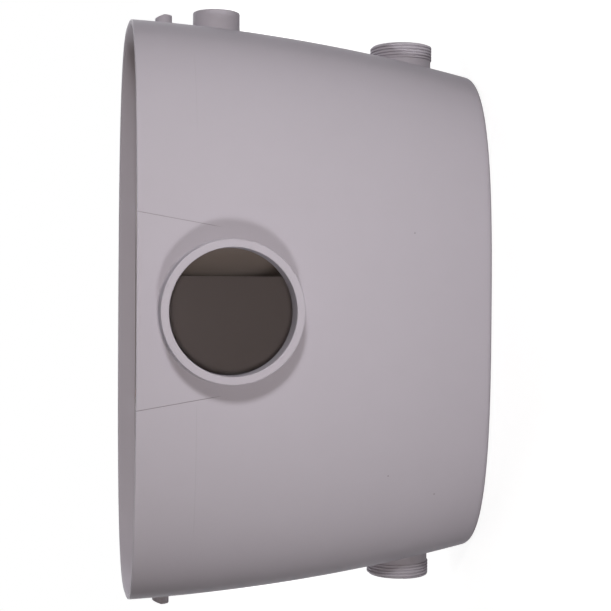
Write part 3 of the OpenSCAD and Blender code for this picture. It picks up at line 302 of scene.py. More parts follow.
def copperWire():
    look = wireFinish
    made = Finish("copperWire")
    x, y, z = made.axes()
    x, y = x - shaftAt[0] * mm, y - shaftAt[1] * mm
    reach = (x * x + y * y).maths("SQRT")
    wave = ((reach + z * look["lean"]) * (2 * pi / look["pitch"])).maths("SINE") * 0.5 + 0.5
    # painted shade: the wave that dents the bump also darkens the copper in the hollows between turns
    return made.done(base_color=made.mix(wave, look["low"], look["colour"]), metallic=look["metal"],
                     roughness=look["rough"] + made.noise(look["cloud"]) * look["cloudRough"],
                     coat_weight=look["varnish"], normal=made.bump(wave, look["relief"], look["reliefShow"]))


# sleeved leads, one colour each
leadFinishes = {"brown": ((0.16, 0.065, 0.030, 1), (0.11, 0.045, 0.022, 1)),
                "blue": ((0.035, 0.10, 0.33, 1), (0.025, 0.07, 0.25, 1)),
                "black": ((0.020, 0.020, 0.022, 1), (0.040, 0.040, 0.042, 1)),
                "grey": ((0.30, 0.30, 0.31, 1), (0.23, 0.23, 0.24, 1))}
sleeveTexture = {"cloud": 130, "grain": 1600, "rough": 0.40, "cloudRough": 0.12,
                 "relief": 0.2 * mm, "reliefShow": 0.3}


def leadSleeve(name):
    look = sleeveTexture
    made = Finish(name + "Lead")
    cloud = made.noise(look["cloud"], 3)
    return made.done(base_color=made.mix(cloud, *leadFinishes[name]),
                     roughness=look["rough"] + cloud * look["cloudRough"],
                     normal=made.bump(made.noise(look["grain"]), look["relief"], look["reliefShow"]))


finishes = {"tank_plastic": tankPlastic(), "laminations": laminations(), "copper_wire": copperWire()}
finishes.update({slot: moulded(look) for slot, look in mouldedFinishes.items()})
finishes.update({slot: metal(look) for slot, look in metalFinishes.items()})
finishes["lead_insulation"] = leadSleeve("brown")
for piece in frame["nodes"].values():
    for holder in piece.material_slots:
        holder.material = finishes[holder.material.name.split(".")[0]]
print("finishes made:", len(finishes))


weld = 0.001 * mm


def pieceFrom(bm, name, nodes, slot, body="tank", crease=32):
    bmesh.ops.remove_doubles(bm, verts=bm.verts, dist=weld)
    bmesh.ops.recalc_face_normals(bm, faces=bm.faces)
    mesh = bpy.data.meshes.new(name)
    bm.to_mesh(mesh)
    bm.free()
    mesh.shade_smooth()
    mesh.set_sharp_from_angle(angle=radians(crease))
    mesh.materials.append(finishes[slot])
    piece = bpy.data.objects.new(name, mesh)
    scene.collection.objects.link(piece)
    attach(piece, body)
    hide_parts(*nodes)
    return piece


def joinInto(bm, part):
    holder = bpy.data.meshes.new("holder")
    part.to_mesh(holder)
    part.free()
    bm.from_mesh(holder)
    bpy.data.meshes.remove(holder)


# profile points are (radius, distance along the axis), in mm
def turned(bm, profile, centre, axis, steps=96, closed=True):
    centre, axis = Vector(centre) * mm, Vector(axis)
    side = axis.orthogonal().normalized()
    dots = [bm.verts.new(centre + (axis * reach + side * radius) * mm) for radius, reach in profile]
    edges = [bm.edges.new(pair) for pair in zip(dots, dots[1:])]
    if closed:
        edges.append(bm.edges.new((dots[-1], dots[0])))
    bmesh.ops.spin(bm, geom=dots + edges, cent=centre, axis=axis, dvec=(0, 0, 0), angle=2 * pi, steps=steps,
                   use_merge=True)


def placed(centre, axis):
    turn = Vector((0, 0, 1)).rotation_difference(Vector(axis)).to_matrix().to_4x4()
    return Matrix.Translation(Vector(centre) * mm) @ turn


def rod(bm, centre, axis, radius, depth, segments):
    bmesh.ops.create_cone(bm, cap_ends=True, segments=segments, radius1=radius * mm, radius2=radius * mm,
                          depth=depth * mm, matrix=placed(centre, axis))


def bevelled(bm, edges, wide, clamped=False):
    bmesh.ops.bevel(bm, geom=edges, offset=wide * mm, offset_type="OFFSET", segments=3, profile=0.5,
                    affect="EDGES", material=-1, clamp_overlap=clamped)


def arc(middle, radius, first, last, steps=5):
    turns = [radians(first + (last - first) * index / steps) for index in range(steps + 1)]
    return [(middle[0] + radius * cos(turn), middle[1] + radius * sin(turn)) for turn in turns]


# tank: tapered oval shell, grown ring by ring from its foot
tank = {"footLen": 182, "rimLen": 214, "footDep": 78.5, "rimDep": 85.5, "height": 261, "swell": 0.8,
        "square": 2.9, "wall": 3.5, "floor": 4, "floorRound": 1, "footRound": 4, "rimRound": 0.9,
        "ledge": 243, "ledgeWide": 9, "ledgeEdge": 3, "ledgeFoot": 231,
        "segments": 320, "courses": 60, "overLedge": (256, 252, 248), "underLedge": 8}
toiletSpigot = {"z": 196.5, "outside": 50, "bore": 44.2, "end": 104, "neck": 86.4, "flare": 1, "root": 80,
                "edge": 0.7, "relief": (47.2, 87.2)}
sidePort = {"z": 48.5, "crest": 23.9, "core": 22.9, "bore": 19, "end": 206.2, "neck": 194.2, "neckOut": 23.1,
            "root": 177.7, "pitch": 2.309, "edge": 0.7, "neckSlope": 0.7, "chamfer": 1.2, "chamferIn": 0.4}
portTooth = {"after": 0.6, "before": 0.4, "sunk": 0.3, "foot": 0.49, "crest": 0.24, "perTurn": 60,
             "runIn": 0.6, "runOut": 0.5, "inset": 0.1}
dischargeSpigot = {"z": 194.5, "outside": 17.7, "bore": 14.7, "end": 224.7, "neck": 212.9, "flare": 0.1,
                   "root": 203.8, "edge": 0.7}
# spans along x or y that are cut through the shell where the fittings go in
borerSpans = {"spigot": (-98, -80), "behindSpigot": (-83, -67), "port": (175, 205), "outlet": (199, 219)}
lidPeg = {"z": 234.5, "radius": 6.3, "end": 221.1, "lean": (0.94, 0, 0.342), "sharpFrom": 23, "edge": 0.5}
coverBosses = {"turns": (15, 75, 105, 165, 195, 255, 285, 345), "inset": 8, "radius": 4.4, "top": 243,
               "foot": 229, "short": 0.4, "screwTop": 247.5}


def bent(value):
    return copysign(abs(value) ** (2 / tank["square"]), value)


def halves(z, inset):
    share = z / tank["height"]
    taper = share + tank["swell"] * share * (1 - share)
    return (tank["footLen"] + (tank["rimLen"] - tank["footLen"]) * taper - inset,
            tank["footDep"] + (tank["rimDep"] - tank["footDep"]) * taper - inset)


def onTank(turn, z, inset):
    long, deep = halves(z, inset)
    return Vector((long * bent(cos(turn)), deep * bent(sin(turn)), z)) * mm


def tankCourses():
    foot, rim, wall, top = tank["footRound"], tank["rimRound"], tank["wall"], tank["height"]
    below, over, ledgeFoot = tank["ledge"], tank["wall"] + tank["ledgeWide"], tank["ledgeFoot"]
    floor, floorRound = tank["floor"], tank["floorRound"]
    courses = [(z, inset) for inset, z in arc((foot, foot), foot, 270, 180, 6)]
    rise = (top - rim - foot) / tank["courses"]
    courses += [(foot + rise * step, 0) for step in range(1, tank["courses"] + 1)]
    courses += [(z, inset) for inset, z in arc((rim, top - rim), rim, 180, 90, 4)[1:]]
    courses += [(z, inset) for inset, z in arc((wall - rim, top - rim), rim, 90, 0, 4)]
    courses += [(z, wall) for z in tank["overLedge"]]
    courses += [(below, wall), (below, over), (below - tank["ledgeEdge"], over), (ledgeFoot, wall)]
    step = tank["underLedge"]
    courses += [(z, wall) for z in range(ledgeFoot - step, floor + floorRound, -step)]
    return courses + [(floor + floorRound, wall), (floor, wall + floorRound)]


def grownRings(bm, courses, capped):
    ring = bmesh.ops.create_circle(bm, cap_ends=capped, segments=tank["segments"], radius=1)["verts"]
    turns = {dot: atan2(dot.co.y, dot.co.x) for dot in ring}
    edges = list(bm.edges)
    for dot, turn in turns.items():
        dot.co = onTank(turn, *courses[0])
    power = tank["square"] / 2
    for before, course in zip(courses, courses[1:]):
        long, deep = halves(*before)
        grown = bmesh.ops.extrude_edge_only(bm, edges=edges)["geom"]
        dots = {item for item in grown if isinstance(item, bmesh.types.BMVert)}
        edges = [item for item in grown if isinstance(item, bmesh.types.BMEdge) and set(item.verts) <= dots]
        for dot in dots:
            across, deepness = dot.co.x / mm / long, dot.co.y / mm / deep
            turn = atan2(copysign(abs(deepness) ** power, deepness), copysign(abs(across) ** power, across))
            dot.co = onTank(turn, *course)
    return edges


def tankShell():
    bm = bmesh.new()
    edges = grownRings(bm, tankCourses(), True)
    bmesh.ops.contextual_create(bm, geom=edges)
    bmesh.ops.recalc_face_normals(bm, faces=bm.faces)
    return bm


def boreThrough(bm, name, z, axis, side, radius, segments):
    start, end = borerSpans[name]
    middle = Vector(axis) * (side * (start + end) / 2) + Vector((0, 0, z))
    rod(bm, middle, axis, radius, end - start, segments)


def tankBorer():
    bm = bmesh.new()
    spigot, port, outlet = toiletSpigot, sidePort, dischargeSpigot
    boreThrough(bm, "spigot", spigot["z"], (0, 1, 0), 1, (spigot["outside"] + spigot["bore"]) / 2, 128)
    boreThrough(bm, "behindSpigot", spigot["z"], (0, 1, 0), 1, spigot["bore"], 128)
    for side in (-1, 1):
        boreThrough(bm, "port", port["z"], (1, 0, 0), side, (port["core"] + port["bore"]) / 2, 96)
    boreThrough(bm, "outlet", outlet["z"], (1, 0, 0), 1, (outlet["outside"] + outlet["bore"]) / 2, 96)
    bmesh.ops.recalc_face_normals(bm, faces=bm.faces)
    return bm


def combined(body, other, operation, nested=False):
    holders = []
    for name, bm in (("body", body), ("other", other)):
        bmesh.ops.remove_doubles(bm, verts=bm.verts, dist=weld)
        bmesh.ops.recalc_face_normals(bm, faces=bm.faces)
        mesh = bpy.data.meshes.new(name)
        bm.to_mesh(mesh)
        bm.free()
        holders.append(bpy.data.objects.new(name, mesh))
        scene.collection.objects.link(holders[-1])
    step = holders[0].modifiers.new("step", "BOOLEAN")
    step.operation = operation
    step.solver = "EXACT"
    step.use_self = nested   # the rods of the borer run into each other
    step.object = holders[1]
    done = bpy.data.meshes.new_from_object(holders[0].evaluated_get(bpy.context.evaluated_depsgraph_get()))
    bm = bmesh.new()
    bm.from_mesh(done)
    bpy.data.meshes.remove(done)
    for holder in holders:
        bpy.data.meshes.remove(holder.data)
    return bm


def spigotProfile(look):
    edge, outside, bore = look["edge"], look["outside"], look["bore"]
    wide, inner = look.get("relief", (bore, look["root"]))   # the bore may widen behind the wall
    profile = [(wide, look["root"]), (outside + look["flare"], look["root"]),
               (outside + look["flare"], look["neck"] - look["flare"]), (outside, look["neck"])]
    profile += arc((outside - edge, look["end"] - edge), edge, 0, 90)
    profile += arc((bore + edge, look["end"] - edge), edge, 90, 180)
    return profile + ([(bore, inner), (wide, inner)] if "relief" in look else [])


def portThread(bm, side):
    look, tooth = sidePort, portTooth
    axis = Vector((side, 0, 0))
    start, end, pitch = look["neck"] + tooth["after"], look["end"] - tooth["before"], look["pitch"]
    sunk, crest = look["core"] - tooth["sunk"], look["crest"]
    part = bmesh.new()
    outline = [(sunk, -tooth["foot"]), (crest, -tooth["crest"]),
               (crest, tooth["crest"]), (sunk, tooth["foot"])]
    dots = [part.verts.new(Vector((side * (start + share * pitch), 0, look["z"] + radius)) * mm)
            for radius, share in outline]
    edges = [part.edges.new(pair) for pair in zip(dots, dots[1:] + dots[:1])]
    turns = (end - start) / pitch
    bmesh.ops.spin(part, geom=dots + edges, cent=(0, 0, look["z"] * mm), axis=axis, angle=2 * pi * turns,
                   steps=int(tooth["perTurn"] * turns), dvec=axis * (pitch / tooth["perTurn"] * mm))
    bmesh.ops.holes_fill(part, edges=[edge for edge in part.edges if edge.is_boundary], sides=8)
    for dot in part.verts:   # the tooth runs out at both ends
        reach = abs(dot.co.x) / mm
        runIn = (reach - start + pitch / 2) / (pitch * tooth["runIn"])
        runOut = (end + pitch / 3 - reach) / (pitch * tooth["runOut"])
        away = Vector((0, dot.co.y, dot.co.z - look["z"] * mm))
        radius = sunk * mm + (away.length - sunk * mm) * max(0, min(1, runIn, runOut))
        away = away.normalized() * radius
        dot.co.y, dot.co.z = away.y, away.z + look["z"] * mm
        dot.co.x = side * min(reach, look["end"] - tooth["inset"]) * mm
    joinInto(bm, part)


def portBody(bm, side):
    look = sidePort
    core, bore, edge, end = look["core"], look["bore"], look["edge"], look["end"]
    profile = [(bore, look["root"]), (look["neckOut"], look["root"]), (look["neckOut"], look["neck"]),
               (core, look["neck"] + look["neckSlope"]), (core, end - look["chamfer"])]
    profile += arc((core - edge - look["chamferIn"], end - edge), edge, 30, 90)
    profile += arc((bore + edge, end - edge), edge, 90, 180)
    turned(bm, profile, (0, 0, look["z"]), (side, 0, 0), steps=120)


def pegBody(bm, side):
    look = lidPeg
    part = bmesh.new()
    root, end, z = halves(look["z"], tank["wall"] / 2)[0], look["end"], look["z"]
    rod(part, ((root + end) / 2, 0, z), (1, 0, 0), look["radius"], end - root, 48)
    bmesh.ops.bisect_plane(part, geom=part.verts[:] + part.edges[:] + part.faces[:], dist=weld / 10,
                           clear_outer=True, plane_co=Vector((end, 0, z)) * mm, plane_no=look["lean"])
    bmesh.ops.holes_fill(part, edges=[edge for edge in part.edges if edge.is_boundary], sides=0)
    bmesh.ops.recalc_face_normals(part, faces=part.faces)
    sharp = [edge for edge in part.edges if edge.calc_face_angle(0) > radians(look["sharpFrom"])]
    bevelled(part, sharp, look["edge"], clamped=True)
    if side < 0:
        bmesh.ops.scale(part, verts=part.verts, vec=(-1, 1, 1))
        bmesh.ops.reverse_faces(part, faces=part.faces)
    joinInto(bm, part)


def bossAt(turn, z):
    spot = onTank(radians(turn), coverBosses["top"], coverBosses["inset"]) / mm
    return (spot.x, spot.y, z)


def makeTank():
    fittings = bmesh.new()
    turned(fittings, spigotProfile(toiletSpigot), (0, 0, toiletSpigot["z"]), (0, -1, 0), steps=160)
    turned(fittings, spigotProfile(dischargeSpigot), (0, 0, dischargeSpigot["z"]), (1, 0, 0))
    threads = bmesh.new()
    for side in (-1, 1):
        portBody(fittings, side)
        pegBody(fittings, side)
        portThread(threads, side)
    look = coverBosses
    tall = look["top"] - look["foot"] - look["short"]
    for turn in look["turns"]:
        rod(fittings, bossAt(turn, look["foot"] + tall / 2), (0, 0, 1), look["radius"], tall, 32)
    bm = combined(tankShell(), tankBorer(), "DIFFERENCE", nested=True)
    bm = combined(combined(bm, fittings, "UNION"), threads, "UNION")
    return pieceFrom(bm, "tankBody", ["tub"], "tank_plastic")


tankBody = makeTank()
print("tank made:", len(tankBody.data.polygons), "faces")


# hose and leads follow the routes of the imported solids; knots are (point, handle before, handle after) in mm
def tubeCurve(name, knots, radius, finish, nodes, fine, bore=0):
    data = bpy.data.curves.new(name, "CURVE")
    data.dimensions = "3D"
    data.bevel_depth = radius * mm
    data.bevel_resolution = 6
    data.resolution_u = fine
    data.use_fill_caps = not bore
    spline = data.splines.new("BEZIER")
    spline.bezier_points.add(len(knots) - 1)
    for dot, (point, before, after) in zip(spline.bezier_points, knots):
        dot.handle_left_type = dot.handle_right_type = "FREE"
        dot.co, dot.handle_left, dot.handle_right = (Vector(place) * mm for place in (point, before, after))
    data.materials.append(finish)
    piece = bpy.data.objects.new(name, data)
    scene.collection.objects.link(piece)
    if bore:
        wall = piece.modifiers.new("wall", "SOLIDIFY")
        wall.thickness = (radius - bore) * mm
        wall.offset = -1
    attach(piece, "tank")
    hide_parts(*nodes)
    return piece


runSteps = 60


def runLength(piece):
    dots = piece.data.splines[0].bezier_points
    total = 0
    for first, second in zip(dots, dots[1:]):
        run = interpolate_bezier(first.co, first.handle_right, second.handle_left, second.co, runSteps)
        total += sum((after - before).length for before, after in zip(run, run[1:]))
    return total


dischargeHose = {"radius": 14.5, "bore": 11, "knots": [
    ((154.271, 0, 164.5), (154.271, 0, 169), (154.271, 0, 160)),
    ((154.271, 0, 150.5), (154.271, 0, 155), (154.271, 0, 119.75)),
    ((152.271, 42, 89), (152.271, 42, 119.75), (152.271, 42, 65.06)),
    ((134.271, 42, 47), (150.471, 42, 47), (129, 42, 47)),
    ((120.271, 42, 47), (125, 42, 47), (116, 42, 47))]}
tubeCurve("dischargeHose", dischargeHose["knots"], dischargeHose["radius"], finishes["rubber"],
          ["discharge_hose"], fine=20, bore=dischargeHose["bore"])

leadRuns = {"radius": 1.4, "colours": ["brown", "blue", "black", "grey", "brown", "blue", "black"], "runs": [
    [(-171.663, 34, 212), (-171.663, 34, 228), (-147.695, 35, 228), (-123.727, 35, 228),
     (-108.194, 35, 228), (-106.252, 25, 205.8), (-84.895, 25, 205.8)],
    [(-159.663, 34, 212), (-159.663, 34, 223), (-141.695, 30, 223), (-123.727, 30, 223),
     (-108.194, 30, 223), (-106.252, 15, 205.8), (-84.895, 15, 205.8)],
    [(-103.827, 1, 239.1), (-103.827, 1, 251.1), (-94.895, -3, 249.1), (-94.895, -3, 235.1),
     (-94.895, -3, 217.1), (-94.895, -5, 205.8), (-84.895, -5, 205.8)],
    [(-112.227, 1, 239.1), (-112.227, 1, 251.1), (-94.895, -13, 249.1), (-94.895, -13, 235.1),
     (-94.895, -13, 217.1), (-94.895, -15, 205.8), (-84.895, -15, 205.8)]]}
# three more leads run from the terminals over the cover and down to the motor
for here, there in ((-5, -14), (-15, -18), (-25, -22)):
    leadRuns["runs"].append([
        (-67.095, here, 205.8), (-67.095, here, 220.2), (-67.095, here, 234.7), (-67.095, here, 249.1),
        (-67.095, here, 258.1), (-62.052, there, 251.1), (-16.662, there, 251.1),
        (27.455, there, 251.1), (52.271, there, 261.1), (52.271, there, 225.1),
        (52.271, there, 212.5), (52.271, there, 199.8), (52.271, there, 187.2)])


def makeLeads():
    sleeves = {name: leadSleeve(name) for name in leadFinishes}
    for index, (run, colour) in enumerate(zip(leadRuns["runs"], leadRuns["colours"])):
        last = len(run) - 1
        knots = [(run[at], run[max(at - 1, 0)], run[min(at + 1, last)]) for at in range(0, len(run), 3)]
        lead = tubeCurve("lead%d" % (index + 1), knots, leadRuns["radius"], sleeves[colour], ["lead_wires"],
                         fine=16)
        runLength(lead)


makeLeads()
print("hose and leads made")


# screws with a lobed recess: pan heads stand on their seats, sunk heads end flush with them
screwForm = {"axis": (0, 0, 1), "height": 2.5, "lobes": 6, "bite": 0.16, "inset": 0.13, "deep": 0.55,
             "edge": 0.35, "sunk": False, "slot": "steel"}


def topFace(bm):
    return max(bm.faces, key=lambda face: face.calc_center_median().z)


def setScrew(bm, seat, look):
    part = bmesh.new()
    head, height, shank, grip = look["head"], look["height"], look["shank"], look["grip"]
    foot, middle = (shank, -height / 2) if look["sunk"] else (head, height / 2)
    bmesh.ops.create_cone(part, cap_ends=True, segments=36, radius1=foot / 2 * mm, radius2=head / 2 * mm,
                          depth=height * mm, matrix=Matrix.Translation((0, 0, middle * mm)))
    bevelled(part, list(topFace(part).edges), height * look["edge"])
    top = topFace(part)
    bmesh.ops.inset_individual(part, faces=[top], thickness=head * look["inset"] * mm)
    for dot in top.verts:
        dot.co.xy *= 1 + look["bite"] * cos(look["lobes"] * atan2(dot.co.y, dot.co.x))
    sunk = bmesh.ops.extrude_discrete_faces(part, faces=[top])["faces"][0]
    bmesh.ops.translate(part, verts=sunk.verts, vec=(0, 0, -height * look["deep"] * mm))
    if grip:
        rod(part, (0, 0, -grip / 2), (0, 0, 1), shank / 2, grip, 20)
    bmesh.ops.transform(part, verts=part.verts, matrix=placed(seat, look["axis"]))
    joinInto(bm, part)


def around(centre, radius, turns, z):
    return [(centre[0] + radius * cos(radians(turn)), centre[1] + radius * sin(radians(turn)), z)
            for turn in turns]


switchAt = (-113.727, 0)
quarters = (45, 135, 225, 315)
terminals = {"x": -76.695, "across": 4.5, "rows": 6, "pitch": 10, "z": 203}
scrollLugs = {"turns": (15, -45, -105, -165, -225), "reach": 50.69, "growth": 1.75, "z": 30}


def terminalSeats():
    look = terminals
    ends = [look["x"] - look["across"], look["x"] + look["across"]]
    rows = [(row - (look["rows"] - 1) / 2) * look["pitch"] for row in range(look["rows"])]
    return [(x, y, look["z"]) for y in rows for x in ends]


def lugSeats():
    look = scrollLugs
    return [around(shaftAt, look["reach"] + look["growth"] * index, (turn,), look["z"])[0]
            for index, turn in enumerate(look["turns"])]


coverSeats = [bossAt(turn, coverBosses["screwTop"]) for turn in coverBosses["turns"]]
down = (0, 0, -1)
# the pump's screws sit under it: round the scroll, in the pillars, and in the cutter ring
screwSets = {
    "cover_screws": [{"head": 8, "height": 2, "shank": 4, "grip": 15, "sunk": True, "edge": 0.06,
                      "seats": coverSeats}],
    "motor_bolts": [{"head": 7.5, "shank": 4, "grip": 60, "seats": around(shaftAt, 44.25, quarters, 187)}],
    "switch_screws": [{"head": 5.5, "shank": 3, "grip": 8, "seats": around(switchAt, 23, quarters, 198)}],
    "terminal_screws": [{"head": 4.9, "height": 4, "shank": 4, "grip": 0, "lobes": 2, "bite": 0.55,
                         "slot": "screw_brass", "seats": terminalSeats()}],
    "pump_screws": [{"head": 8, "shank": 4, "grip": 34, "axis": down, "seats": lugSeats()},
                    {"head": 8, "shank": 4, "grip": 18, "axis": down,
                     "seats": around(shaftAt, 34, quarters, 64)},
                    {"head": 5.5, "shank": 3, "grip": 14, "axis": down,
                     "seats": around(shaftAt, 28.5, (30, 150, 270), 18)}],
}


def makeScrews():
    for node, groups in screwSets.items():
        bm = bmesh.new()
        for group in groups:
            look = {**screwForm, **group}
            for seat in look["seats"]:
                setScrew(bm, seat, look)
        pieceFrom(bm, node.replace("_s", "S").replace("_b", "B"), [node], look["slot"])


makeScrews()
print("screws set")


# capacitor can with rolled ends, and the vent's ribbed cap; dish, bead and groove are (across, deep) pairs
capacitorCan = {"x": -165.663, "z": 211.4, "radius": 17, "half": 31, "roll": 1.6, "rollFrom": 250,
                "dish": ((4, 1.6), (3, 0.6)), "bead": ((0, 6), (0.5, 6.8), (0.5, 7.6), (0, 8.4)),
                "tagAcross": 12, "tagOut": 6, "tag": (6, 8, 0.8)}
ventCap = {"at": (-16.662, 25, 247.5), "radius": 15, "height": 2, "plug": 11, "depth": 12, "edge": 0.7,
           "grooves": (11.5, 8.5, 5.5, 2.8), "groove": ((0.5, 0), (0.4, 0.9), (-0.4, 0.9), (-0.5, 0))}


def makeCapacitor():
    look = capacitorCan
    bm = bmesh.new()
    radius, half, roll = look["radius"], look["half"], look["roll"]
    near = [(0, roll - half)] + [(radius - inset, deep - half) for inset, deep in look["dish"]]
    near += arc((radius - roll, roll - half), roll, look["rollFrom"], 360)
    near += [(radius - inset, deep - half) for inset, deep in look["bead"]]
    far = [(reach, -along) for reach, along in reversed(near)]
    turned(bm, near + far, (look["x"], 0, look["z"]), (0, 1, 0), closed=False)
    for side in (-1, 1):
        tag = bmesh.ops.create_cube(bm, size=1)["verts"]
        bmesh.ops.scale(bm, verts=tag, vec=Vector(look["tag"]) * mm)
        across, along = side * look["tagAcross"] / 2, half + look["tagOut"] - look["tag"][1] / 2
        bmesh.ops.translate(bm, verts=tag, vec=Vector((look["x"] + across, along, look["z"])) * mm)
    pieceFrom(bm, "capacitorCan", ["capacitor"], "white_plastic")


def makeVent():
    look = ventCap
    bm = bmesh.new()
    radius, height, edge = look["radius"], look["height"], look["edge"]
    profile = [(0, -look["depth"]), (look["plug"], -look["depth"]), (look["plug"], 0), (radius, 0)]
    profile += arc((radius - edge, height - edge), edge, 0, 90)
    for ring in look["grooves"]:
        profile += [(ring + across, height - deep) for across, deep in look["groove"]]
    turned(bm, profile + [(0, height)], look["at"], (0, 0, 1), steps=72, closed=False)
    pieceFrom(bm, "ventCap", ["vent_filter"], "dark_plastic")


makeCapacitor()
makeVent()
print("capacitor and vent made")


# winding heads: lumpy bundles of wire round the bore of the stator
windingHeads = {"inside": 27, "outside": 38.5, "feet": (100, 167), "height": 11, "lumps": 24, "swell": 0.5,
                "slack": 0.6, "turnStep": 20}


def makeWindings():
    look = windingHeads
    bm = bmesh.new()
    middle = (look["inside"] + look["outside"]) / 2
    across = (look["outside"] - look["inside"]) / 2 - look["slack"]
    rise = look["height"] / 2 - look["slack"]
    outline = [(middle + across * bent(cos(radians(turn))), rise * bent(sin(radians(turn))))
               for turn in range(0, 360, look["turnStep"])]
    for foot in look["feet"]:
        part = bmesh.new()
        turned(part, outline, shaftAt + (foot + look["height"] / 2,), (0, 0, 1), steps=192)
        for dot in part.verts:
            away = Vector((dot.co.x - shaftAt[0] * mm, dot.co.y - shaftAt[1] * mm))
            swell = look["swell"] * cos(look["lumps"] * atan2(away.y, away.x)) * mm
            push = away.normalized() * swell * copysign(1, away.length - middle * mm)
            dot.co.x += push.x
            dot.co.y += push.y
        joinInto(bm, part)
    pieceFrom(bm, "windingHeads", ["stator_windings"], "copper_wire", crease=60)


makeWindings()
print("windings made")


# moulded rubber: hinged flaps, seals, the motor's cushion ring, the switch diaphragm and the cover gasket
rubberFlaps = {"left_flap": {"radius": 22, "rise": 25, "knuckle": 3.2, "hole": 1.55, "half": 8, "side": 1},
               "right_flap": {"radius": 22, "rise": 25, "knuckle": 3.2, "hole": 1.55, "half": 8, "side": -1},
               "valve_flap": {"radius": 13, "rise": 13.3, "knuckle": 2, "hole": 1.05, "half": 4, "side": 1}}
# shares of the disc's radius: lip, rim, button and tabFrom; the rest is in mm
flapForm = {"thick": 3, "edge": 0.9, "lip": 0.80, "lipHigh": 0.5, "lipSlope": 0.6, "rim": 0.74,
            "button": 0.24, "dish": 0.7, "dishSlope": 0.5, "tubeEdge": 0.4, "tabFrom": 0.8, "tabEdge": 0.5}


def makeFlap(node):
    look, form = rubberFlaps[node], flapForm
    low, high = (corner / mm for corner in map(Vector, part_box(node)))
    pin = Vector(((low.x + high.x) / 2, 0, high.z - look["knuckle"]))
    radius, side, seat = look["radius"], look["side"], -look["knuckle"]
    back = seat + form["thick"]
    bm = bmesh.new()
    # sealing lip on the outer face, raised rim and button on the inner one
    lip, rim, button = (radius * form[key] for key in ("lip", "rim", "button"))
    edge, slope = form["edge"], form["dishSlope"]
    shy, dish = seat + form["lipHigh"], back - form["dish"]
    disc = [(0, shy), (lip - form["lipSlope"], shy), (lip, seat)]
    disc += arc((radius - edge, seat + edge), edge, 270, 360) + arc((radius - edge, back - edge), edge, 0, 90)
    disc += [(rim, back), (rim - slope, dish), (button + slope, dish), (button, back), (0, back)]
    turned(bm, disc, pin - Vector((0, 0, look["rise"])), (side, 0, 0), closed=False)
    half, bore, out, cut = look["half"], look["hole"], look["knuckle"], form["tubeEdge"]
    tube = [(bore, -half), (out - cut, -half), (out, cut - half),
            (out, half - cut), (out - cut, half), (bore, half)]
    turned(bm, tube, pin, (0, 1, 0), steps=48)
    tab = bmesh.new()
    bmesh.ops.create_cube(tab, size=1)
    tall = look["rise"] - radius * form["tabFrom"] - bore
    bmesh.ops.scale(tab, verts=tab.verts, vec=Vector((form["thick"], 2 * half, tall)) * mm)
    bevelled(tab, tab.edges[:], form["tabEdge"])
    middle = pin + Vector((side * (seat + form["thick"] / 2), 0, -bore - tall / 2))
    bmesh.ops.translate(tab, verts=tab.verts, vec=middle * mm)
    joinInto(bm, tab)
    pieceFrom(bm, node.split("_")[0] + "FlapRubber", [node], "rubber", node)


rubberRings = {
    "shaft_seal": {"name": "shaftSeal", "at": shaftAt + (0,), "axis": (0, 0, 1), "profile": [
        (6.05, 72.4), (6.5, 72), (13.5, 72), (14, 72.5), (14, 79.5), (13.5, 80), (9, 80),
        (8.4, 78.4), (7.2, 78.4), (6.6, 79.8), (6.05, 79.4)]},
    "motor_mount": {"name": "motorCushion", "at": shaftAt + (0,), "axis": (0, 0, 1), "profile": [
        (16, 88.3), (16.3, 88), (47.6, 88), (48, 88.4), (48, 90.6), (47.6, 91), (42, 91), (41.5, 90.2),
        (39.5, 90.2), (39, 91), (30, 91), (29.5, 90.2), (27.5, 90.2), (27, 91), (16.3, 91), (16, 90.7)]},
    "outlet_seal": {"name": "outletSeal", "at": (0, 0, 194.5), "axis": (1, 0, 0),
                    "profile": arc((13.45, 209.071), 1.2, 0, 345, 23)},
    "diaphragm": {"name": "switchDiaphragm", "at": switchAt + (0,), "axis": (0, 0, 1), "profile": [
        (0.4, 193.4), (8, 193.4), (9, 193), (26.6, 193), (27, 193.4), (27, 194.1), (26.6, 194.5),
        (16, 194.5), (15.8, 195.5), (15.4, 195.7), (14.6, 195.7), (14.2, 195.5), (14, 194.5),
        (9, 194.5), (8, 194.2), (0.4, 194.2)]},
}
coverGasket = {"outer": 4.1, "inner": 12.5, "foot": 243, "top": 244.5, "edge": 0.5}


def makeGasket():
    look = coverGasket
    bm = bmesh.new()
    edge = look["edge"]
    outer, inner = look["outer"] + edge, look["inner"] - edge
    foot, top = look["foot"] + edge, look["top"] - edge
    corners = ((outer, foot, 270), (outer, top, 180), (inner, top, 90), (inner, foot, 360))
    loop = [(z, inset) for across, rise, first in corners
            for inset, z in arc((across, rise), edge, first, first - 90, 3)]
    grownRings(bm, loop + loop[:1], False)
    pieceFrom(bm, "coverGasket", ["cover_gasket"], "rubber")


def makeRubber():
    for node in rubberFlaps:
        makeFlap(node)
    for node, look in rubberRings.items():
        bm = bmesh.new()
        turned(bm, look["profile"], look["at"], look["axis"])
        pieceFrom(bm, look["name"], [node], "rubber")
    makeGasket()


makeRubber()
print("rubber pieces made")


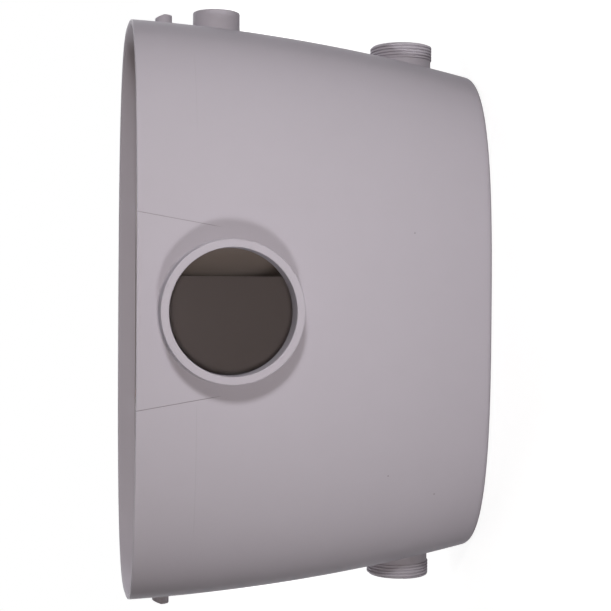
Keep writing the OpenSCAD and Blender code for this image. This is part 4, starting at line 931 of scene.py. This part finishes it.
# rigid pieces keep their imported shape, with edges softened as moulding, casting and pressing leave them (mm)
softEdges = {"inner_cover": 0.5, "motor_well": 0.5, "electrics_tray": 0.5, "switch_cap": 0.5,
             "microswitch": 0.4, "terminal_block": 0.4, "capacitor_clip": 0.4, "motor_upper_shield": 0.5,
             "motor_lower_shield": 0.5, "valve_body": 0.3, "left_flap_frame": 0.4, "right_flap_frame": 0.4,
             "pressure_tube": 0.4, "impeller": 0.2, "cutter_ring": 0.3, "cutter_blade": 0.25,
             "cutter_nut": 0.3, "hose_clips": 0.2, "rotor_core": 0.4, "stator_core": 0.3, "motor_shaft": 0.4,
             "microswitch_lever": 0.12, "microswitch_button": 0.3}
softening = {"weld": 2 * weld, "flatWithin": 1, "sharpFrom": 35, "crease": 40}


def bodyOf(node):
    return next(body for body, nodes in frame["record"]["behaviour"]["bodies"].items() if node in nodes)


def makeSoftEdges():
    look = softening
    for node, wide in softEdges.items():
        packed = frame["nodes"][node]
        bm = bmesh.new()
        bm.from_mesh(packed.data)
        bmesh.ops.remove_doubles(bm, verts=bm.verts, dist=look["weld"])
        bmesh.ops.dissolve_limit(bm, angle_limit=radians(look["flatWithin"]), verts=bm.verts, edges=bm.edges)
        sharp = [edge for edge in bm.edges if edge.calc_face_angle(0) > radians(look["sharpFrom"])]
        bevelled(bm, sharp, wide)
        words = node.split("_")
        name = words[0] + ("".join(word.title() for word in words[1:]) or "Body")
        material = packed.material_slots[0].material
        slot = next(key for key, made in finishes.items() if made == material)
        piece = pieceFrom(bm, name, [node], slot, bodyOf(node), crease=look["crease"])
        piece.modifiers.new("flatFaces", "WEIGHTED_NORMAL").keep_sharp = True


makeSoftEdges()
print("edges softened:", len(softEdges))


# pale floor that keeps the tank's shadow, white background
stageLook = {"floor": 0.35, "rough": 0.9, "glow": 0.85, "nearTo": 0.28, "farFrom": 0.75, "world": 0.015,
             "half": 3.0, "drop": 0.2}
seenRays = ("Is Camera Ray", "Is Glossy Ray", "Is Transmission Ray")


def makeFloor():
    look = stageLook
    bm = bmesh.new()
    bmesh.ops.create_grid(bm, x_segments=1, y_segments=1, size=look["half"],
                          matrix=Matrix.Translation((0, 0, -look["drop"] * mm)))
    mesh = bpy.data.meshes.new("floor")
    bm.to_mesh(mesh)
    bm.free()
    floor = bpy.data.objects.new("floor", mesh)
    scene.collection.objects.link(floor)
    made = Finish("paleFloor")
    seen = 0.0
    for ray in seenRays:
        seen = made.node("ShaderNodeLightPath", out=ray).maths("MAXIMUM", seen)
    # white of its own away from the tank, and lamplit round it, where the shadow falls
    x, y = made.axes()[:2]
    away = ((x * x + y * y).maths("SQRT") - look["nearTo"]) / (look["farFrom"] - look["nearTo"])
    glow = look["glow"] + away.clamped() * (1 - look["glow"])
    shade = look["floor"]
    made.done(base_color=(shade, shade, shade, 1), roughness=look["rough"], specular_ior_level=0.0,
              emission_color=made.mix(glow * seen, (0, 0, 0, 1), (1, 1, 1, 1)), emission_strength=1.0)
    mesh.materials.append(made.material)


def makeWorld():
    world = bpy.data.worlds.new("paleRoom")
    scene.world = world
    world.use_nodes = True
    tree = world.node_tree
    tree.nodes.clear()
    path = tree.nodes.new("ShaderNodeLightPath")
    seen = path.outputs[seenRays[0]]
    for name in seenRays[1:]:
        either = tree.nodes.new("ShaderNodeMath")
        either.operation = "MAXIMUM"
        tree.links.new(seen, either.inputs[0])
        tree.links.new(path.outputs[name], either.inputs[1])
        seen = either.outputs[0]
    skies = []
    for strength in (stageLook["world"], 1.0):
        sky = tree.nodes.new("ShaderNodeBackground")
        sky.inputs["Color"].default_value = (1, 1, 1, 1)
        sky.inputs["Strength"].default_value = strength
        skies.append(sky)
    blend = tree.nodes.new("ShaderNodeMixShader")
    tree.links.new(seen, blend.inputs[0])
    tree.links.new(skies[0].outputs[0], blend.inputs[1])
    tree.links.new(skies[1].outputs[0], blend.inputs[2])
    tree.links.new(blend.outputs[0], tree.nodes.new("ShaderNodeOutputWorld").inputs["Surface"])


# two gridded softboxes in front, a weak warm lamp by the camera, and large ones above and behind
white = (1, 1, 1)
lamps = {"right": {"at": (0.715, -1.195, 0.438), "aim": (-0.11, -0.09, 0.25), "colour": white,
                   "size": 0.20, "spread": 80, "power": 1.84},
         "left": {"at": (-0.770, -1.195, 0.196), "aim": (0.40, -0.09, 0.01), "colour": white,
                  "size": 0.20, "spread": 50, "power": 0.88},
         "front": {"at": (0.006, -1.06, 0.354), "aim": (0, -0.09, 0.17), "colour": (1, 0.86, 0.72),
                   "size": 0.03, "spread": 180, "power": 1.78},
         "above": {"at": (0, 0.62, 1.20), "aim": (0, 0, 0.2), "colour": white,
                   "size": 1.5, "spread": 180, "power": 5.2},
         "behindLeft": {"at": (-1.0, 1.1, 0.60), "aim": (0, 0, 0.12), "colour": white,
                        "size": 0.5, "spread": 180, "power": 8.0},
         "behindRight": {"at": (1.0, 1.1, 0.60), "aim": (0, 0, 0.12), "colour": white,
                         "size": 0.5, "spread": 180, "power": 8.0}}


def addLamps():
    for name, look in lamps.items():
        data = bpy.data.lights.new(name, "AREA")
        data.energy = look["power"]
        data.size = look["size"]
        data.spread = radians(look["spread"])
        data.color = look["colour"]
        lamp = bpy.data.objects.new(name, data)
        scene.collection.objects.link(lamp)
        lamp.location = look["at"]
        lamp.rotation_euler = (Vector(look["aim"]) - Vector(look["at"])).to_track_quat("-Z", "Y").to_euler()


makeFloor()
makeWorld()
addLamps()
print("stage lit")
